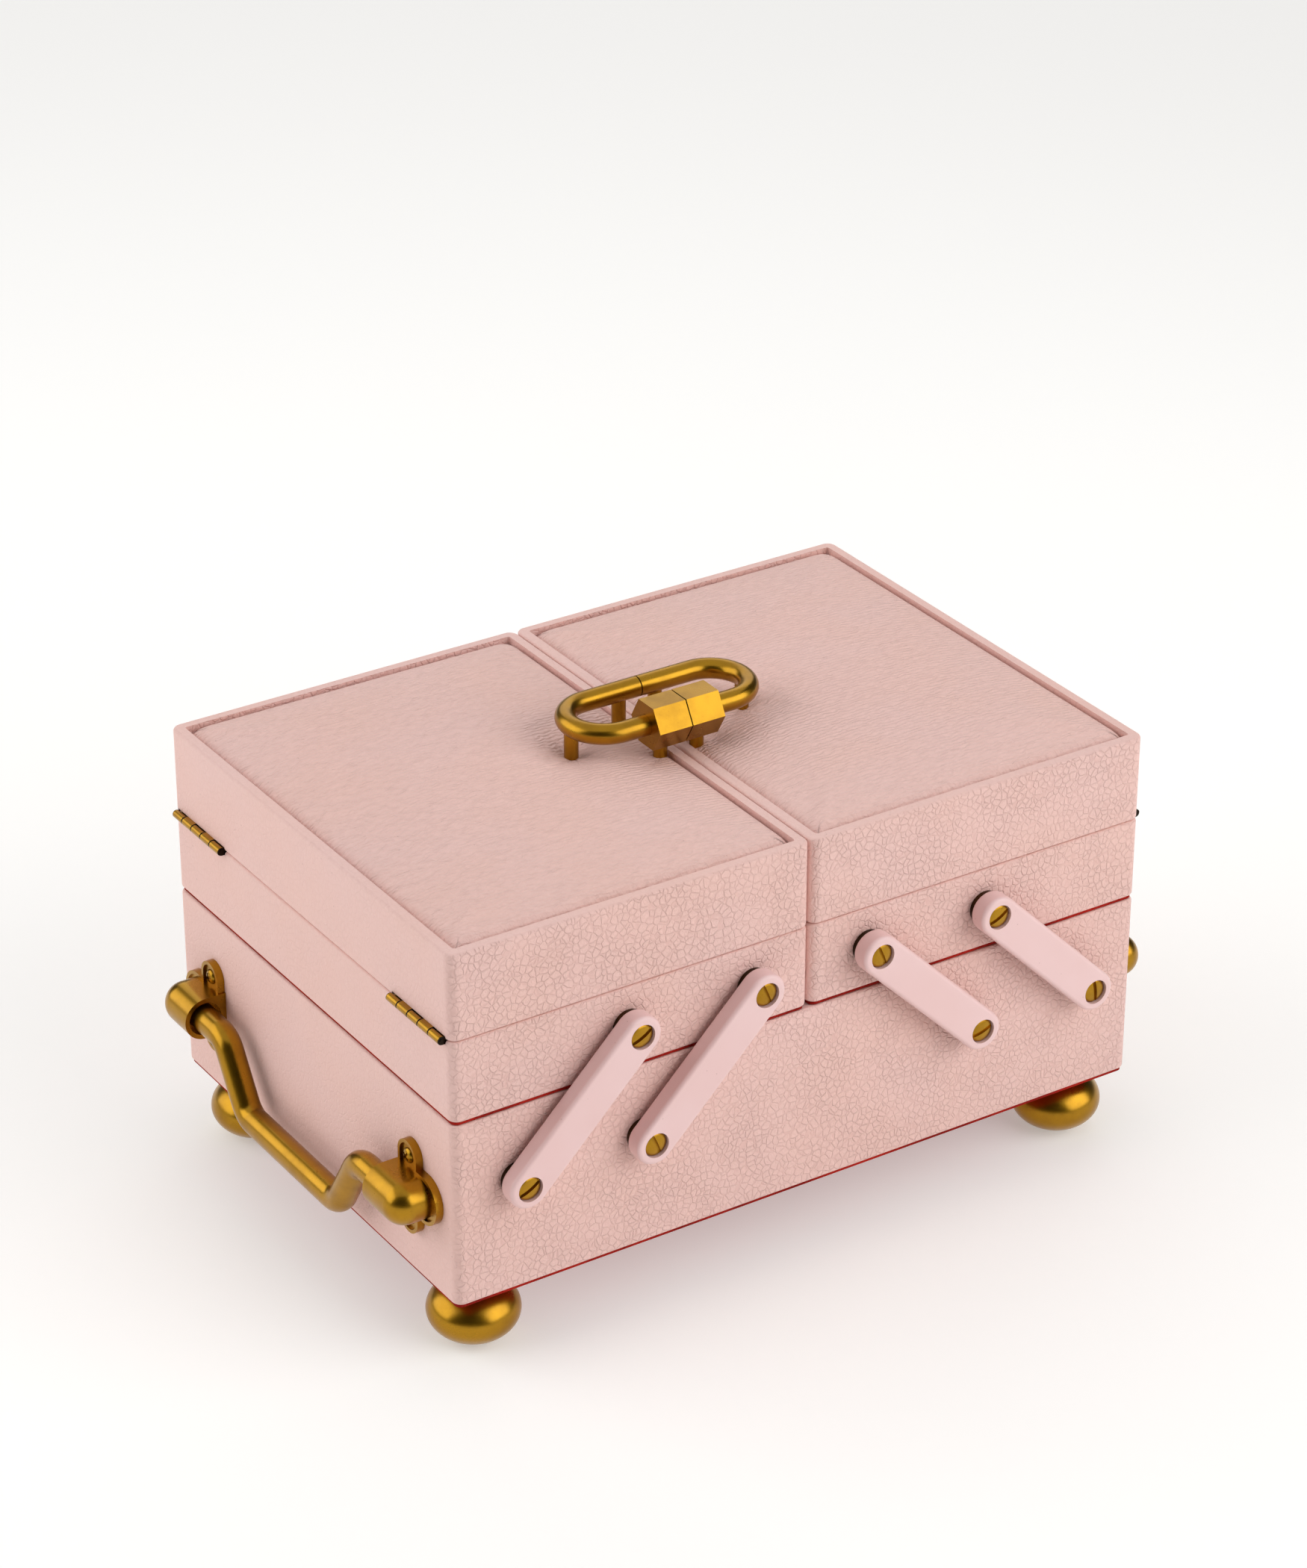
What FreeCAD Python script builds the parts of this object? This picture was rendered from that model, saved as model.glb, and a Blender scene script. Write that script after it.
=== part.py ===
import FreeCAD, Part
import math
import os
import re

import Sketcher

# Sewing box with two trays that swing outwards on parallel arms.
#
# X runs along the long side, Y from front (-) to back (+) and Z up.  The origin lies on the
# surface that the box stands on, under its centre.  Sizes are millimetres.  Every size that can
# be set by itself is a cell of the sheet "sizes"; the derived cells and all expressions use them.

doc = FreeCAD.newDocument("sewing_box")
sheet = doc.addObject("Spreadsheet::Sheet", "sizes")

DRIVING_SIZES = [
    # outer box
    ("box_length", 300),
    ("box_depth", 204),
    ("base_height", 76),
    ("tray_height", 34),
    ("lid_height", 35),
    ("seam_gap", 0.3),
    ("centre_gap", 0.5),
    ("corner_radius", 4),
    # walls, from the outside in
    ("wrap_thickness", 1.5),
    ("wrap_edge_radius", 1.2),
    ("wall_thickness", 7),
    ("lining_thickness", 1),
    ("base_floor", 6),
    ("tray_floor", 4),
    ("panel_thickness", 1.2),
    ("panel_inset", 1),
    # lid rim and padded panel
    ("rim_width", 4.2),
    ("rim_turn", 1),
    ("pad_depth", 9),
    ("pad_gap", 0.4),
    ("pad_edge_radius", 5),
    ("lid_board", 5),
    # swinging arms: pivots below and above the base's top, from the box's end and its middle
    ("arm_width", 15.9),
    ("arm_thickness", 7.7),
    ("arm_edge_radius", 1.6),
    ("pivot_drop", 28.3),
    ("pivot_lift", 18.6),
    ("outer_pivot_inset", 25.2),
    ("inner_pivot_inset", 25.2),
    ("arm_run", 46.9),
    ("washer_thickness", 2.2),
    ("washer_diameter", 13),
    ("running_gap", 0.1),
    ("fit_gap", 0.05),
    # domed slotted shoulder screws
    ("head_diameter", 9.3),
    ("head_edge", 1.3),
    ("head_dome", 1.2),
    ("head_gap", 0.3),
    ("counterbore_depth", 2.8),
    ("shoulder_diameter", 6),
    ("thread_diameter", 4),
    ("thread_cover", 1.5),
    ("slot_width", 1.4),
    ("slot_depth", 1.3),
    # ball feet
    ("foot_height", 27.5),
    ("foot_diameter", 34.8),
    ("foot_half_axis", 12),
    ("foot_centre", 11.5),
    ("foot_neck_diameter", 15),
    ("foot_inset_length", 18.3),
    ("foot_inset_depth", 20),
    ("stud_diameter", 5),
    ("stud_cover", 1),
    # hanging handles
    ("handle_height", 38.4),
    ("bar_diameter", 10.6),
    ("handle_drop", 26),
    ("elbow_inset", 16.5),
    ("leg_run", 16.2),
    ("bend_inside", 3.6),
    ("journal_gap", 0.4),
    # handle brackets: a housing for each journal on a flange with a lobe and two ears
    ("bracket_inset", 17.5),
    ("housing_wall", 3.2),
    ("housing_standoff", 0.5),
    ("housing_overhang", 5.5),
    ("housing_length", 23),
    ("bell_gap", 1.4),
    ("bell_depth", 4.5),
    ("bore_stop", 11.6),
    ("flange_thickness", 3),
    ("flange_rim", 1.4),
    ("flange_sunk", 1),
    ("lobe_radius", 9.6),
    ("ear_radius", 6.4),
    ("ear_back", 10.5),
    ("ear_rise", 12.8),
    # cross-head bracket screws
    ("cross_head_diameter", 6),
    ("cross_head_height", 1.6),
    ("cross_width", 1),
    ("cross_length", 3.6),
    ("cross_depth", 0.8),
    ("shank_diameter", 3),
    ("shank_cover", 1),
    # butt hinges between tray and lid
    ("hinge_end_inset", 4),
    ("hinge_length", 36),
    ("knuckle_diameter", 3.2),
    ("knuckle_offset", 1.2),
    ("knuckle_gap", 0.3),
    ("knuckle_recess", 0.35),
    ("hinge_pin_diameter", 1.6),
    ("leaf_margin", 1),
    ("leaf_setback", 0.8),
    ("leaf_screw_spread", 11),
    ("leaf_screw_head", 3.8),
    ("leaf_screw_cone", 1.1),
    ("leaf_screw_shank", 1.9),
    ("leaf_screw_length", 8),
    ("leaf_slot_width", 0.6),
    ("leaf_slot_depth", 0.5),
    # clasp: a link and a hexagonal nut, cut in half over the middle of the box
    ("link_rise", 13),
    ("link_shift", -0.8),
    ("link_bend", 14.2),
    ("link_straight", 23.5),
    ("rod_diameter", 8),
    ("nut_radius", 9.9),
    ("nut_length", 14.25),
    ("post_diameter", 5.5),
    ("post_near", 8),
    ("post_gap", 0.2),
    ("post_cover", 1),
]

DERIVED_SIZES = [
    ("half_box", "box_length / 2"),
    ("face_depth", "box_depth / 2"),
    ("section_length", "(box_length - centre_gap) / 2"),
    ("section_centre", "(box_length + centre_gap) / 4"),
    ("skin", "wrap_thickness + wall_thickness"),
    ("inner_corner", "corner_radius - wrap_thickness"),
    # heights
    ("base_top", "foot_height + base_height"),
    ("tray_bottom", "base_top + seam_gap"),
    ("tray_top", "base_top + tray_height"),
    ("lid_bottom", "tray_top + seam_gap"),
    ("lid_top", "tray_top + lid_height"),
    ("pad_floor", "lid_top - pad_depth"),
    ("lid_ceiling", "pad_floor - lid_board"),
    # outlines of the base, then of one tray or lid
    ("base_wood_length", "box_length - 2 * wrap_thickness"),
    ("base_wood_depth", "box_depth - 2 * wrap_thickness"),
    ("base_hollow_length", "box_length - 2 * skin"),
    ("base_hollow_depth", "box_depth - 2 * skin"),
    ("base_inside_length", "base_hollow_length - 2 * lining_thickness"),
    ("base_inside_depth", "base_hollow_depth - 2 * lining_thickness"),
    ("base_panel_length", "box_length - 2 * panel_inset"),
    ("base_panel_depth", "box_depth - 2 * panel_inset"),
    ("section_wood_length", "section_length - 2 * wrap_thickness"),
    ("section_hollow_length", "section_length - 2 * skin"),
    ("section_inside_length", "section_hollow_length - 2 * lining_thickness"),
    ("section_panel_length", "section_length - 2 * panel_inset"),
    ("recess_inset", "rim_width - rim_turn"),
    ("recess_length", "section_length - 2 * recess_inset"),
    ("recess_depth", "box_depth - 2 * recess_inset"),
    ("mouth_length", "section_length - 2 * rim_width"),
    ("mouth_depth", "box_depth - 2 * rim_width"),
    ("pad_length", "mouth_length - 2 * pad_gap"),
    ("pad_width", "mouth_depth - 2 * pad_gap"),
    # heights of the blocks
    ("base_wood_height", "base_height - panel_thickness - wrap_thickness"),
    ("base_wrap_height", "base_height - panel_thickness"),
    ("base_hollow_height", "base_wood_height - base_floor"),
    ("base_lining_height", "base_hollow_height + wrap_thickness"),
    ("base_lining_hollow", "base_lining_height - lining_thickness"),
    ("tray_wrap_height", "tray_height - seam_gap - panel_thickness"),
    ("tray_wood_height", "tray_wrap_height - wrap_thickness"),
    ("tray_hollow_height", "tray_wood_height - tray_floor"),
    ("tray_lining_height", "tray_hollow_height + wrap_thickness"),
    ("tray_lining_hollow", "tray_lining_height - lining_thickness"),
    ("lid_wrap_height", "lid_height - seam_gap"),
    ("lid_wood_height", "lid_wrap_height - 2 * wrap_thickness"),
    ("lid_recess_height", "pad_depth - wrap_thickness"),
    ("lid_hollow_height", "lid_ceiling - lid_bottom - wrap_thickness"),
    ("lid_wrap_hollow", "lid_ceiling - lid_bottom"),
    ("lid_lining_hollow", "lid_wrap_hollow - lining_thickness"),
    # arms
    ("outer_pivot", "half_box - outer_pivot_inset"),
    ("inner_pivot", "inner_pivot_inset + arm_run"),
    ("arm_rise", "pivot_drop + pivot_lift"),
    ("arm_length", "sqrt(arm_run * arm_run + arm_rise * arm_rise)"),
    ("left_lean", "atan(arm_rise / arm_run)"),
    ("right_lean", "180 deg - atan(arm_rise / arm_run)"),
    ("arm_standoff", "washer_thickness + running_gap"),
    ("arm_face", "face_depth + arm_standoff"),
    ("arm_end_radius", "arm_width / 2"),
    ("arm_web", "arm_thickness - counterbore_depth"),
    ("base_pivot", "base_top - pivot_drop"),
    ("tray_pivot", "base_top + pivot_lift"),
    ("pivot_bore", "shoulder_diameter / 2 + fit_gap"),
    ("counterbore_radius", "head_diameter / 2 + head_gap"),
    ("head_seat", "arm_face + arm_web + running_gap"),
    ("thread_length", "wall_thickness - thread_cover"),
    ("stud_length", "base_floor - stud_cover"),
    # brackets
    ("lobe_out", "face_depth - bracket_inset"),
    ("ear_out", "lobe_out - ear_back"),
    ("housing_radius", "bar_diameter / 2 + housing_wall"),
    ("housing_end", "lobe_out + housing_overhang"),
    ("housing_mouth", "housing_end - housing_length"),
    ("mouth_radius", "bar_diameter / 2 + bell_gap"),
    ("mouth_end", "housing_mouth + bell_depth"),
    ("bore_end", "housing_end - bore_stop"),
    ("flange_floor", "flange_thickness - flange_sunk"),
    ("shank_length", "skin - shank_cover"),
    # handles: the turn of each elbow and the length that a bend takes from each side
    ("handle_axis", "half_box + housing_radius + housing_standoff"),
    ("handle_level", "foot_height + handle_height"),
    ("journal_out", "bore_end - journal_gap"),
    ("elbow_out", "housing_mouth - elbow_inset"),
    ("grip_out", "elbow_out - leg_run"),
    ("bend_radius", "bar_diameter / 2 + bend_inside"),
    ("leg_turn", "atan(handle_drop / leg_run)"),
    ("bend_tangent", "bend_radius * tan(leg_turn / 2)"),
    ("bend_start", "elbow_out + bend_tangent"),
    ("grip_start", "grip_out - bend_tangent"),
    # hinges
    ("hinge_out", "face_depth - hinge_end_inset - hinge_length / 2"),
    ("leaf_width", "skin - leaf_margin"),
    ("hinge_axis", "half_box + knuckle_offset"),
    ("hinge_level", "tray_top + seam_gap / 2"),
    ("knuckle_pitch", "hinge_length / 5"),
    ("leaf_screw_line", "half_box - skin + wall_thickness / 2"),
    # clasp
    ("link_level", "lid_top + link_rise"),
    ("post_sink", "lid_board - post_cover"),
    ("post_foot", "pad_floor - post_sink"),
]

KNUCKLES = 5
SIDES = {"left": -1, "right": 1}
FACES = {"front": -1, "rear": 1}
UP = FreeCAD.Vector(0, 0, 1)

finished = {}


def formula(text):
    """Turn an expression over size names into one over the sheet's cells."""
    return re.sub(r"[a-z_]*[a-z](?!\w*\()", lambda found: "sizes." + found.group(0), text)


def fill_sheet():
    """Write the driving sizes as numbers and the derived ones as formulas, one row each."""
    row = 1
    for alias, number in DRIVING_SIZES:
        sheet.set(f"A{row}", alias)
        sheet.set(f"B{row}", str(number))
        sheet.setAlias(f"B{row}", alias)
        row += 1
    for alias, text in DERIVED_SIZES:
        sheet.set(f"A{row}", alias)
        sheet.set(f"B{row}", "=" + text)
        sheet.setAlias(f"B{row}", alias)
        row += 1
    doc.recompute()


def size(alias):
    """The present value of one cell, in millimetres or degrees."""
    number = sheet.get(alias)
    return float(getattr(number, "Value", number))


def bind(thing, **sizes):
    """Tie properties of an object to expressions over the size names."""
    for name, text in sizes.items():
        thing.setExpression(name, formula(text))
    return thing


def put(thing, x="0", y="0", z="0", turn=None):
    """Place an object at expressions over the size names, with an optional fixed turn."""
    if turn is not None:
        thing.Placement = FreeCAD.Placement(FreeCAD.Vector(), turn)
    for axis, text in (("x", x), ("y", y), ("z", z)):
        thing.setExpression("Placement.Base." + axis, formula(text))
    return thing


def finish(node, thing):
    """Name a finished sub-part."""
    thing.Label = node
    finished[node] = thing
    return thing


# --- plain solids -----------------------------------------------------------------------------

def box(name, x, y, z):
    """A box between a low and a high expression along each axis."""
    solid = doc.addObject("Part::Box", name)
    bind(
        solid,
        Length=f"({x[1]}) - ({x[0]})",
        Width=f"({y[1]}) - ({y[0]})",
        Height=f"({z[1]}) - ({z[0]})",
    )
    return put(solid, x[0], y[0], z[0])


TURNS = {
    "+X": FreeCAD.Rotation(FreeCAD.Vector(0, 1, 0), 90),
    "-X": FreeCAD.Rotation(FreeCAD.Vector(0, 1, 0), -90),
    "+Y": FreeCAD.Rotation(FreeCAD.Vector(1, 0, 0), -90),
    "-Y": FreeCAD.Rotation(FreeCAD.Vector(1, 0, 0), 90),
    "+Z": FreeCAD.Rotation(),
    "-Z": FreeCAD.Rotation(FreeCAD.Vector(1, 0, 0), 180),
}


def rod(name, way, radius, length, x="0", y="0", z="0"):
    """A cylinder from a point, along one of the six axis directions."""
    solid = doc.addObject("Part::Cylinder", name)
    bind(solid, Radius=radius, Height=length)
    return put(solid, x, y, z, TURNS[way])


def fuse(name, parts):
    joined = doc.addObject("Part::MultiFuse", name)
    joined.Shapes = parts
    return joined


def cut(name, base, tools):
    """Subtract a list of tools from a base."""
    tool = tools[0]
    if len(tools) > 1:
        tool = doc.addObject("Part::Compound", name + "_tools")
        tool.Links = tools
    result = doc.addObject("Part::Cut", name)
    result.Base = base
    result.Tool = tool
    return result


def group(name, parts):
    together = doc.addObject("Part::Compound", name)
    together.Links = parts
    return together


def copy_of(master, name, x, y, z, turn):
    """A linked copy of a master solid at its own place."""
    link = doc.addObject("App::Link", name)
    link.LinkedObject = master
    return put(link, x, y, z, turn)


def side_range(side, near, far):
    """The low and high X of a stretch between two distances from the middle."""
    if side > 0:
        return (near, far)
    return (f"-({far})", f"-({near})")


def signed(sign, text):
    return text if sign > 0 else f"-({text})"


# --- sketched blocks --------------------------------------------------------------------------

def origin_plane(body, role):
    for feature in body.Origin.OriginFeatures:
        if feature.Role == role:
            return feature
    raise ValueError(role)


def new_sketch(body, name, role="XY_Plane", offset="0"):
    sketch = body.newObject("Sketcher::SketchObject", name)
    sketch.AttachmentSupport = (origin_plane(body, role), [""])
    sketch.MapMode = "FlatFace"
    sketch.setExpression("AttachmentOffset.Base.z", formula(offset))
    return sketch


def name_constraint(sketch, constraint, name, text):
    index = sketch.addConstraint(constraint)
    sketch.renameConstraint(index, name)
    sketch.setExpression("Constraints." + name, formula(text))


def rounded_rectangle(sketch, length, depth, radius):
    """A centred rectangle with rounded corners, bound to three named sizes."""
    half_x = size(length) / 2
    half_y = size(depth) / 2
    corner = size(radius)
    near_x = half_x - corner
    near_y = half_y - corner
    first = sketch.GeometryCount
    ends = [
        ((-near_x, -half_y), (near_x, -half_y)),
        ((half_x, -near_y), (half_x, near_y)),
        ((near_x, half_y), (-near_x, half_y)),
        ((-half_x, near_y), (-half_x, -near_y)),
    ]
    centres = [(near_x, -near_y), (near_x, near_y), (-near_x, near_y), (-near_x, -near_y)]
    for start, end in ends:
        sketch.addGeometry(Part.LineSegment(FreeCAD.Vector(*start, 0), FreeCAD.Vector(*end, 0)))
    for quarter, centre in enumerate(centres):
        circle = Part.Circle(FreeCAD.Vector(*centre, 0), UP, corner)
        start = math.pi / 2 * (quarter - 1)
        sketch.addGeometry(Part.ArcOfCircle(circle, start, start + math.pi / 2))
    lines = [first + index for index in range(4)]
    arcs = [first + 4 + index for index in range(4)]
    for index in range(4):
        sketch.addConstraint(Sketcher.Constraint("Tangent", lines[index], 2, arcs[index], 1))
        following = lines[(index + 1) % 4]
        sketch.addConstraint(Sketcher.Constraint("Tangent", arcs[index], 2, following, 1))
        way = "Vertical" if index % 2 else "Horizontal"
        sketch.addConstraint(Sketcher.Constraint(way, lines[index]))
        if index:
            sketch.addConstraint(Sketcher.Constraint("Equal", arcs[0], arcs[index]))
    sketch.addConstraint(Sketcher.Constraint("Symmetric", arcs[0], 3, arcs[2], 3, -1, 1))
    mark = str(first)
    across = Sketcher.Constraint("DistanceX", lines[3], 1, lines[1], 1, 2 * half_x)
    name_constraint(sketch, across, "across" + mark, length)
    along = Sketcher.Constraint("DistanceY", lines[0], 1, lines[2], 1, 2 * half_y)
    name_constraint(sketch, along, "along" + mark, depth)
    rounding = Sketcher.Constraint("Radius", arcs[0], corner)
    name_constraint(sketch, rounding, "rounding" + mark, radius)


def rim_edges(shape, levels):
    """Names of the edges that lie flat at one of the given heights."""
    names = []
    for index, edge in enumerate(shape.Edges):
        bounds = edge.BoundBox
        flat = bounds.ZLength < 1e-6
        if flat and any(abs(bounds.ZMin - level) < 1e-6 for level in levels):
            names.append(f"Edge{index + 1}")
    if not names:
        raise ValueError(f"no edges at {levels}")
    return names


def block(name, outline, height, rounded=None, hollows=()):
    """A rounded block standing on its own XY plane.

    rounded gives the edge radius and whether the bottom and the top edges take it; each hollow
    is an outline, a depth and whether it is cut from the top.
    """
    body = doc.addObject("PartDesign::Body", name)
    sketch = new_sketch(body, name + "_outline")
    rounded_rectangle(sketch, *outline)
    pad = body.newObject("PartDesign::Pad", name + "_pad")
    pad.Profile = sketch
    bind(pad, Length=height)
    doc.recompute()
    if rounded:
        radius, bottom, top = rounded
        levels = ([0.0] if bottom else []) + ([size(height)] if top else [])
        fillet = body.newObject("PartDesign::Fillet", name + "_edges")
        fillet.Base = (pad, rim_edges(pad.Shape, levels))
        bind(fillet, Radius=radius)
    for number, (hollow, depth, from_top) in enumerate(hollows):
        level = height if from_top else "0"
        inner = new_sketch(body, f"{name}_hollow_{number}", offset=level)
        rounded_rectangle(inner, *hollow)
        pocket = body.newObject("PartDesign::Pocket", f"{name}_pocket_{number}")
        pocket.Profile = inner
        pocket.Reversed = not from_top
        bind(pocket, Length=depth)
    return body


# --- repeated holes and places ------------------------------------------------------------------

def foot_places():
    for face_name, face in FACES.items():
        for side_name, side in SIDES.items():
            x = signed(side, "half_box - foot_inset_length")
            y = signed(face, "face_depth - foot_inset_depth")
            yield f"{face_name}_{side_name}", x, y


def bracket_places():
    for side_name, side in SIDES.items():
        for face_name, face in FACES.items():
            yield f"{side_name}_{face_name}", side, face


def hinge_places():
    for face_name, face in FACES.items():
        yield face_name, face


def pivot_places(side, line, level):
    """Both pivots of one side on both faces: name, face and the X and Z expressions."""
    for face_name, face in FACES.items():
        for reach in ("outer", "inner"):
            x = signed(side, f"{reach}_pivot - {line}")
            yield f"{face_name}_{reach}", face, x, level


def pivot_holes(name, places, radius, start, length):
    """Cylinders along Y into the front and rear walls at the pivots."""
    holes = []
    for place, face, x, level in places:
        way = "+Y" if face < 0 else "-Y"
        holes.append(rod(f"{name}_{place}", way, radius, length, x, signed(face, start), level))
    return holes


def base_pivots():
    for side_name, side in SIDES.items():
        for place, face, x, level in pivot_places(side, "0", "base_pivot"):
            yield f"{side_name}_{place}", face, x, level


def tray_pivots(side):
    return pivot_places(side, "arm_run", "tray_pivot")


def bracket_screw_places():
    for place, side, face in bracket_places():
        for rise_name, rise in (("lower", -1), ("upper", 1)):
            z = f"handle_level + {signed(rise, 'ear_rise')}"
            yield f"{place}_{rise_name}", side, signed(face, "ear_out"), z


# --- box sections ---------------------------------------------------------------------------------

def make_base():
    """Wooden base box with its leather, lining and red underside panel."""
    wood_outline = ("base_wood_length", "base_wood_depth", "inner_corner")
    hollow_outline = ("base_hollow_length", "base_hollow_depth", "lining_thickness")
    raw = block(
        "base_wood", wood_outline, "base_wood_height",
        hollows=[(hollow_outline, "base_hollow_height", True)],
    )
    put(raw, z="foot_height + panel_thickness")
    holes = pivot_holes(
        "base_thread_hole", base_pivots(), "thread_diameter / 2 + fit_gap", "face_depth", "skin"
    )
    for place, x, y in foot_places():
        holes.append(rod(
            "stud_hole_" + place, "+Z", "stud_diameter / 2 + fit_gap",
            "panel_thickness + stud_length", x, y, "foot_height",
        ))
    for place, side, y, z in bracket_screw_places():
        way = "+X" if side < 0 else "-X"
        holes.append(rod(
            "bracket_hole_" + place, way, "shank_diameter / 2 + fit_gap", "skin",
            signed(side, "half_box"), y, z,
        ))
    finish("base_carcass", cut("base_carcass_cut", raw, holes))

    outer = block(
        "base_leather", ("box_length", "box_depth", "corner_radius"), "base_wrap_height",
        rounded=("wrap_edge_radius", True, True),
        hollows=[(hollow_outline, "base_wrap_height", True)],
    )
    put(outer, z="foot_height + panel_thickness")
    openings = pivot_holes(
        "base_shoulder_hole", base_pivots(), "pivot_bore", "face_depth", "skin"
    )
    for place, side, y, z in bracket_screw_places():
        way = "+X" if side < 0 else "-X"
        openings.append(rod(
            "leather_bracket_hole_" + place, way, "shank_diameter / 2 + fit_gap", "skin",
            signed(side, "half_box"), y, z,
        ))
    finish("base_leather_wrap", cut("base_leather_cut", outer, [raw] + openings))

    lining = block(
        "base_lining_block", hollow_outline, "base_lining_height",
        hollows=[(
            ("base_inside_length", "base_inside_depth", "fit_gap"), "base_lining_hollow", True,
        )],
    )
    put(lining, z="foot_height + panel_thickness + base_floor")
    finish("base_lining", lining)

    panel = block(
        "base_panel", ("base_panel_length", "base_panel_depth", "inner_corner"),
        "panel_thickness",
    )
    put(panel, z="foot_height")
    stud_holes = [
        rod(
            "panel_stud_hole_" + place, "+Z", "stud_diameter / 2 + fit_gap",
            "panel_thickness", x, y, "foot_height",
        )
        for place, x, y in foot_places()
    ]
    finish("base_underside_panel", cut("base_panel_cut", panel, stud_holes))


def hinge_mortises(name, side, low, high):
    """Leaf mortises and knuckle recesses at both hinges of one side."""
    tools = []
    for place, face in hinge_places():
        middle = signed(face, "hinge_out")
        span = (
            f"{middle} - hinge_length / 2 - knuckle_gap",
            f"{middle} + hinge_length / 2 + knuckle_gap",
        )
        near = "half_box - leaf_width - fit_gap"
        tools.append(box(
            f"{name}_mortise_{place}", side_range(side, near, "hinge_axis"), span, (low, high)
        ))
        tools.append(rod(
            f"{name}_knuckle_recess_{place}", "+Y", "knuckle_diameter / 2 + knuckle_recess",
            f"({span[1]}) - ({span[0]})", signed(side, "hinge_axis"), span[0], "hinge_level",
        ))
    return tools


def leaf_screw_places(side):
    for place, face in hinge_places():
        for end_name, end in (("near", -1), ("far", 1)):
            y = f"{signed(face, 'hinge_out')} + {signed(end, 'leaf_screw_spread')}"
            yield f"{place}_{end_name}", signed(side, "leaf_screw_line"), y


def leaf_screw_holes(name, side, way, level):
    return [
        rod(
            f"{name}_screw_hole_{place}", way, "leaf_screw_shank / 2 + fit_gap",
            "leaf_screw_length", x, y, level,
        )
        for place, x, y in leaf_screw_places(side)
    ]


def make_tray(side_name, side):
    """Wooden tray with its leather, lining and red underside panel."""
    centre = signed(side, "section_centre")
    wood_outline = ("section_wood_length", "base_wood_depth", "inner_corner")
    hollow_outline = ("section_hollow_length", "base_hollow_depth", "lining_thickness")
    name = side_name + "_tray"
    raw = block(
        name + "_wood", wood_outline, "tray_wood_height",
        hollows=[(hollow_outline, "tray_hollow_height", True)],
    )
    put(raw, x=centre, z="tray_bottom + panel_thickness")
    holes = pivot_holes(
        name + "_thread_hole", tray_pivots(side), "thread_diameter / 2 + fit_gap",
        "face_depth", "skin",
    )
    holes += leaf_screw_holes(name, side, "-Z", "tray_top")
    finish(name + "_carcass", cut(name + "_carcass_cut", raw, holes))

    outer = block(
        name + "_leather", ("section_length", "box_depth", "corner_radius"),
        "tray_wrap_height", rounded=("wrap_edge_radius", True, True),
        hollows=[(hollow_outline, "tray_wrap_height", True)],
    )
    put(outer, x=centre, z="tray_bottom + panel_thickness")
    openings = pivot_holes(
        name + "_shoulder_hole", tray_pivots(side), "pivot_bore", "face_depth", "skin"
    )
    openings += hinge_mortises(name, side, "tray_top - wrap_thickness", "tray_top + seam_gap")
    finish(name + "_leather_wrap", cut(name + "_leather_cut", outer, [raw] + openings))

    lining = block(
        name + "_lining_block", hollow_outline, "tray_lining_height",
        hollows=[(
            ("section_inside_length", "base_inside_depth", "fit_gap"),
            "tray_lining_hollow", True,
        )],
    )
    put(lining, x=centre, z="tray_bottom + panel_thickness + tray_floor")
    finish(name + "_lining", lining)

    panel = block(
        name + "_panel", ("section_panel_length", "base_panel_depth", "inner_corner"),
        "panel_thickness",
    )
    put(panel, x=centre, z="tray_bottom")
    finish(name + "_underside_panel", panel)


def post_places(side):
    """The three posts of a clasp half: name, X and Y."""
    return {
        "nut": (signed(side, "post_near"), "link_shift - link_bend"),
        "rear": (signed(side, "post_near"), "link_shift + link_bend"),
        "end": (signed(side, "link_straight + link_bend"), "link_shift"),
    }


def post_holes(name, side, gap):
    return [
        rod(
            f"{name}_post_hole_{place}", "+Z", f"post_diameter / 2 + {gap}",
            "pad_depth + post_sink", x, y, "post_foot",
        )
        for place, (x, y) in post_places(side).items()
    ]


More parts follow.
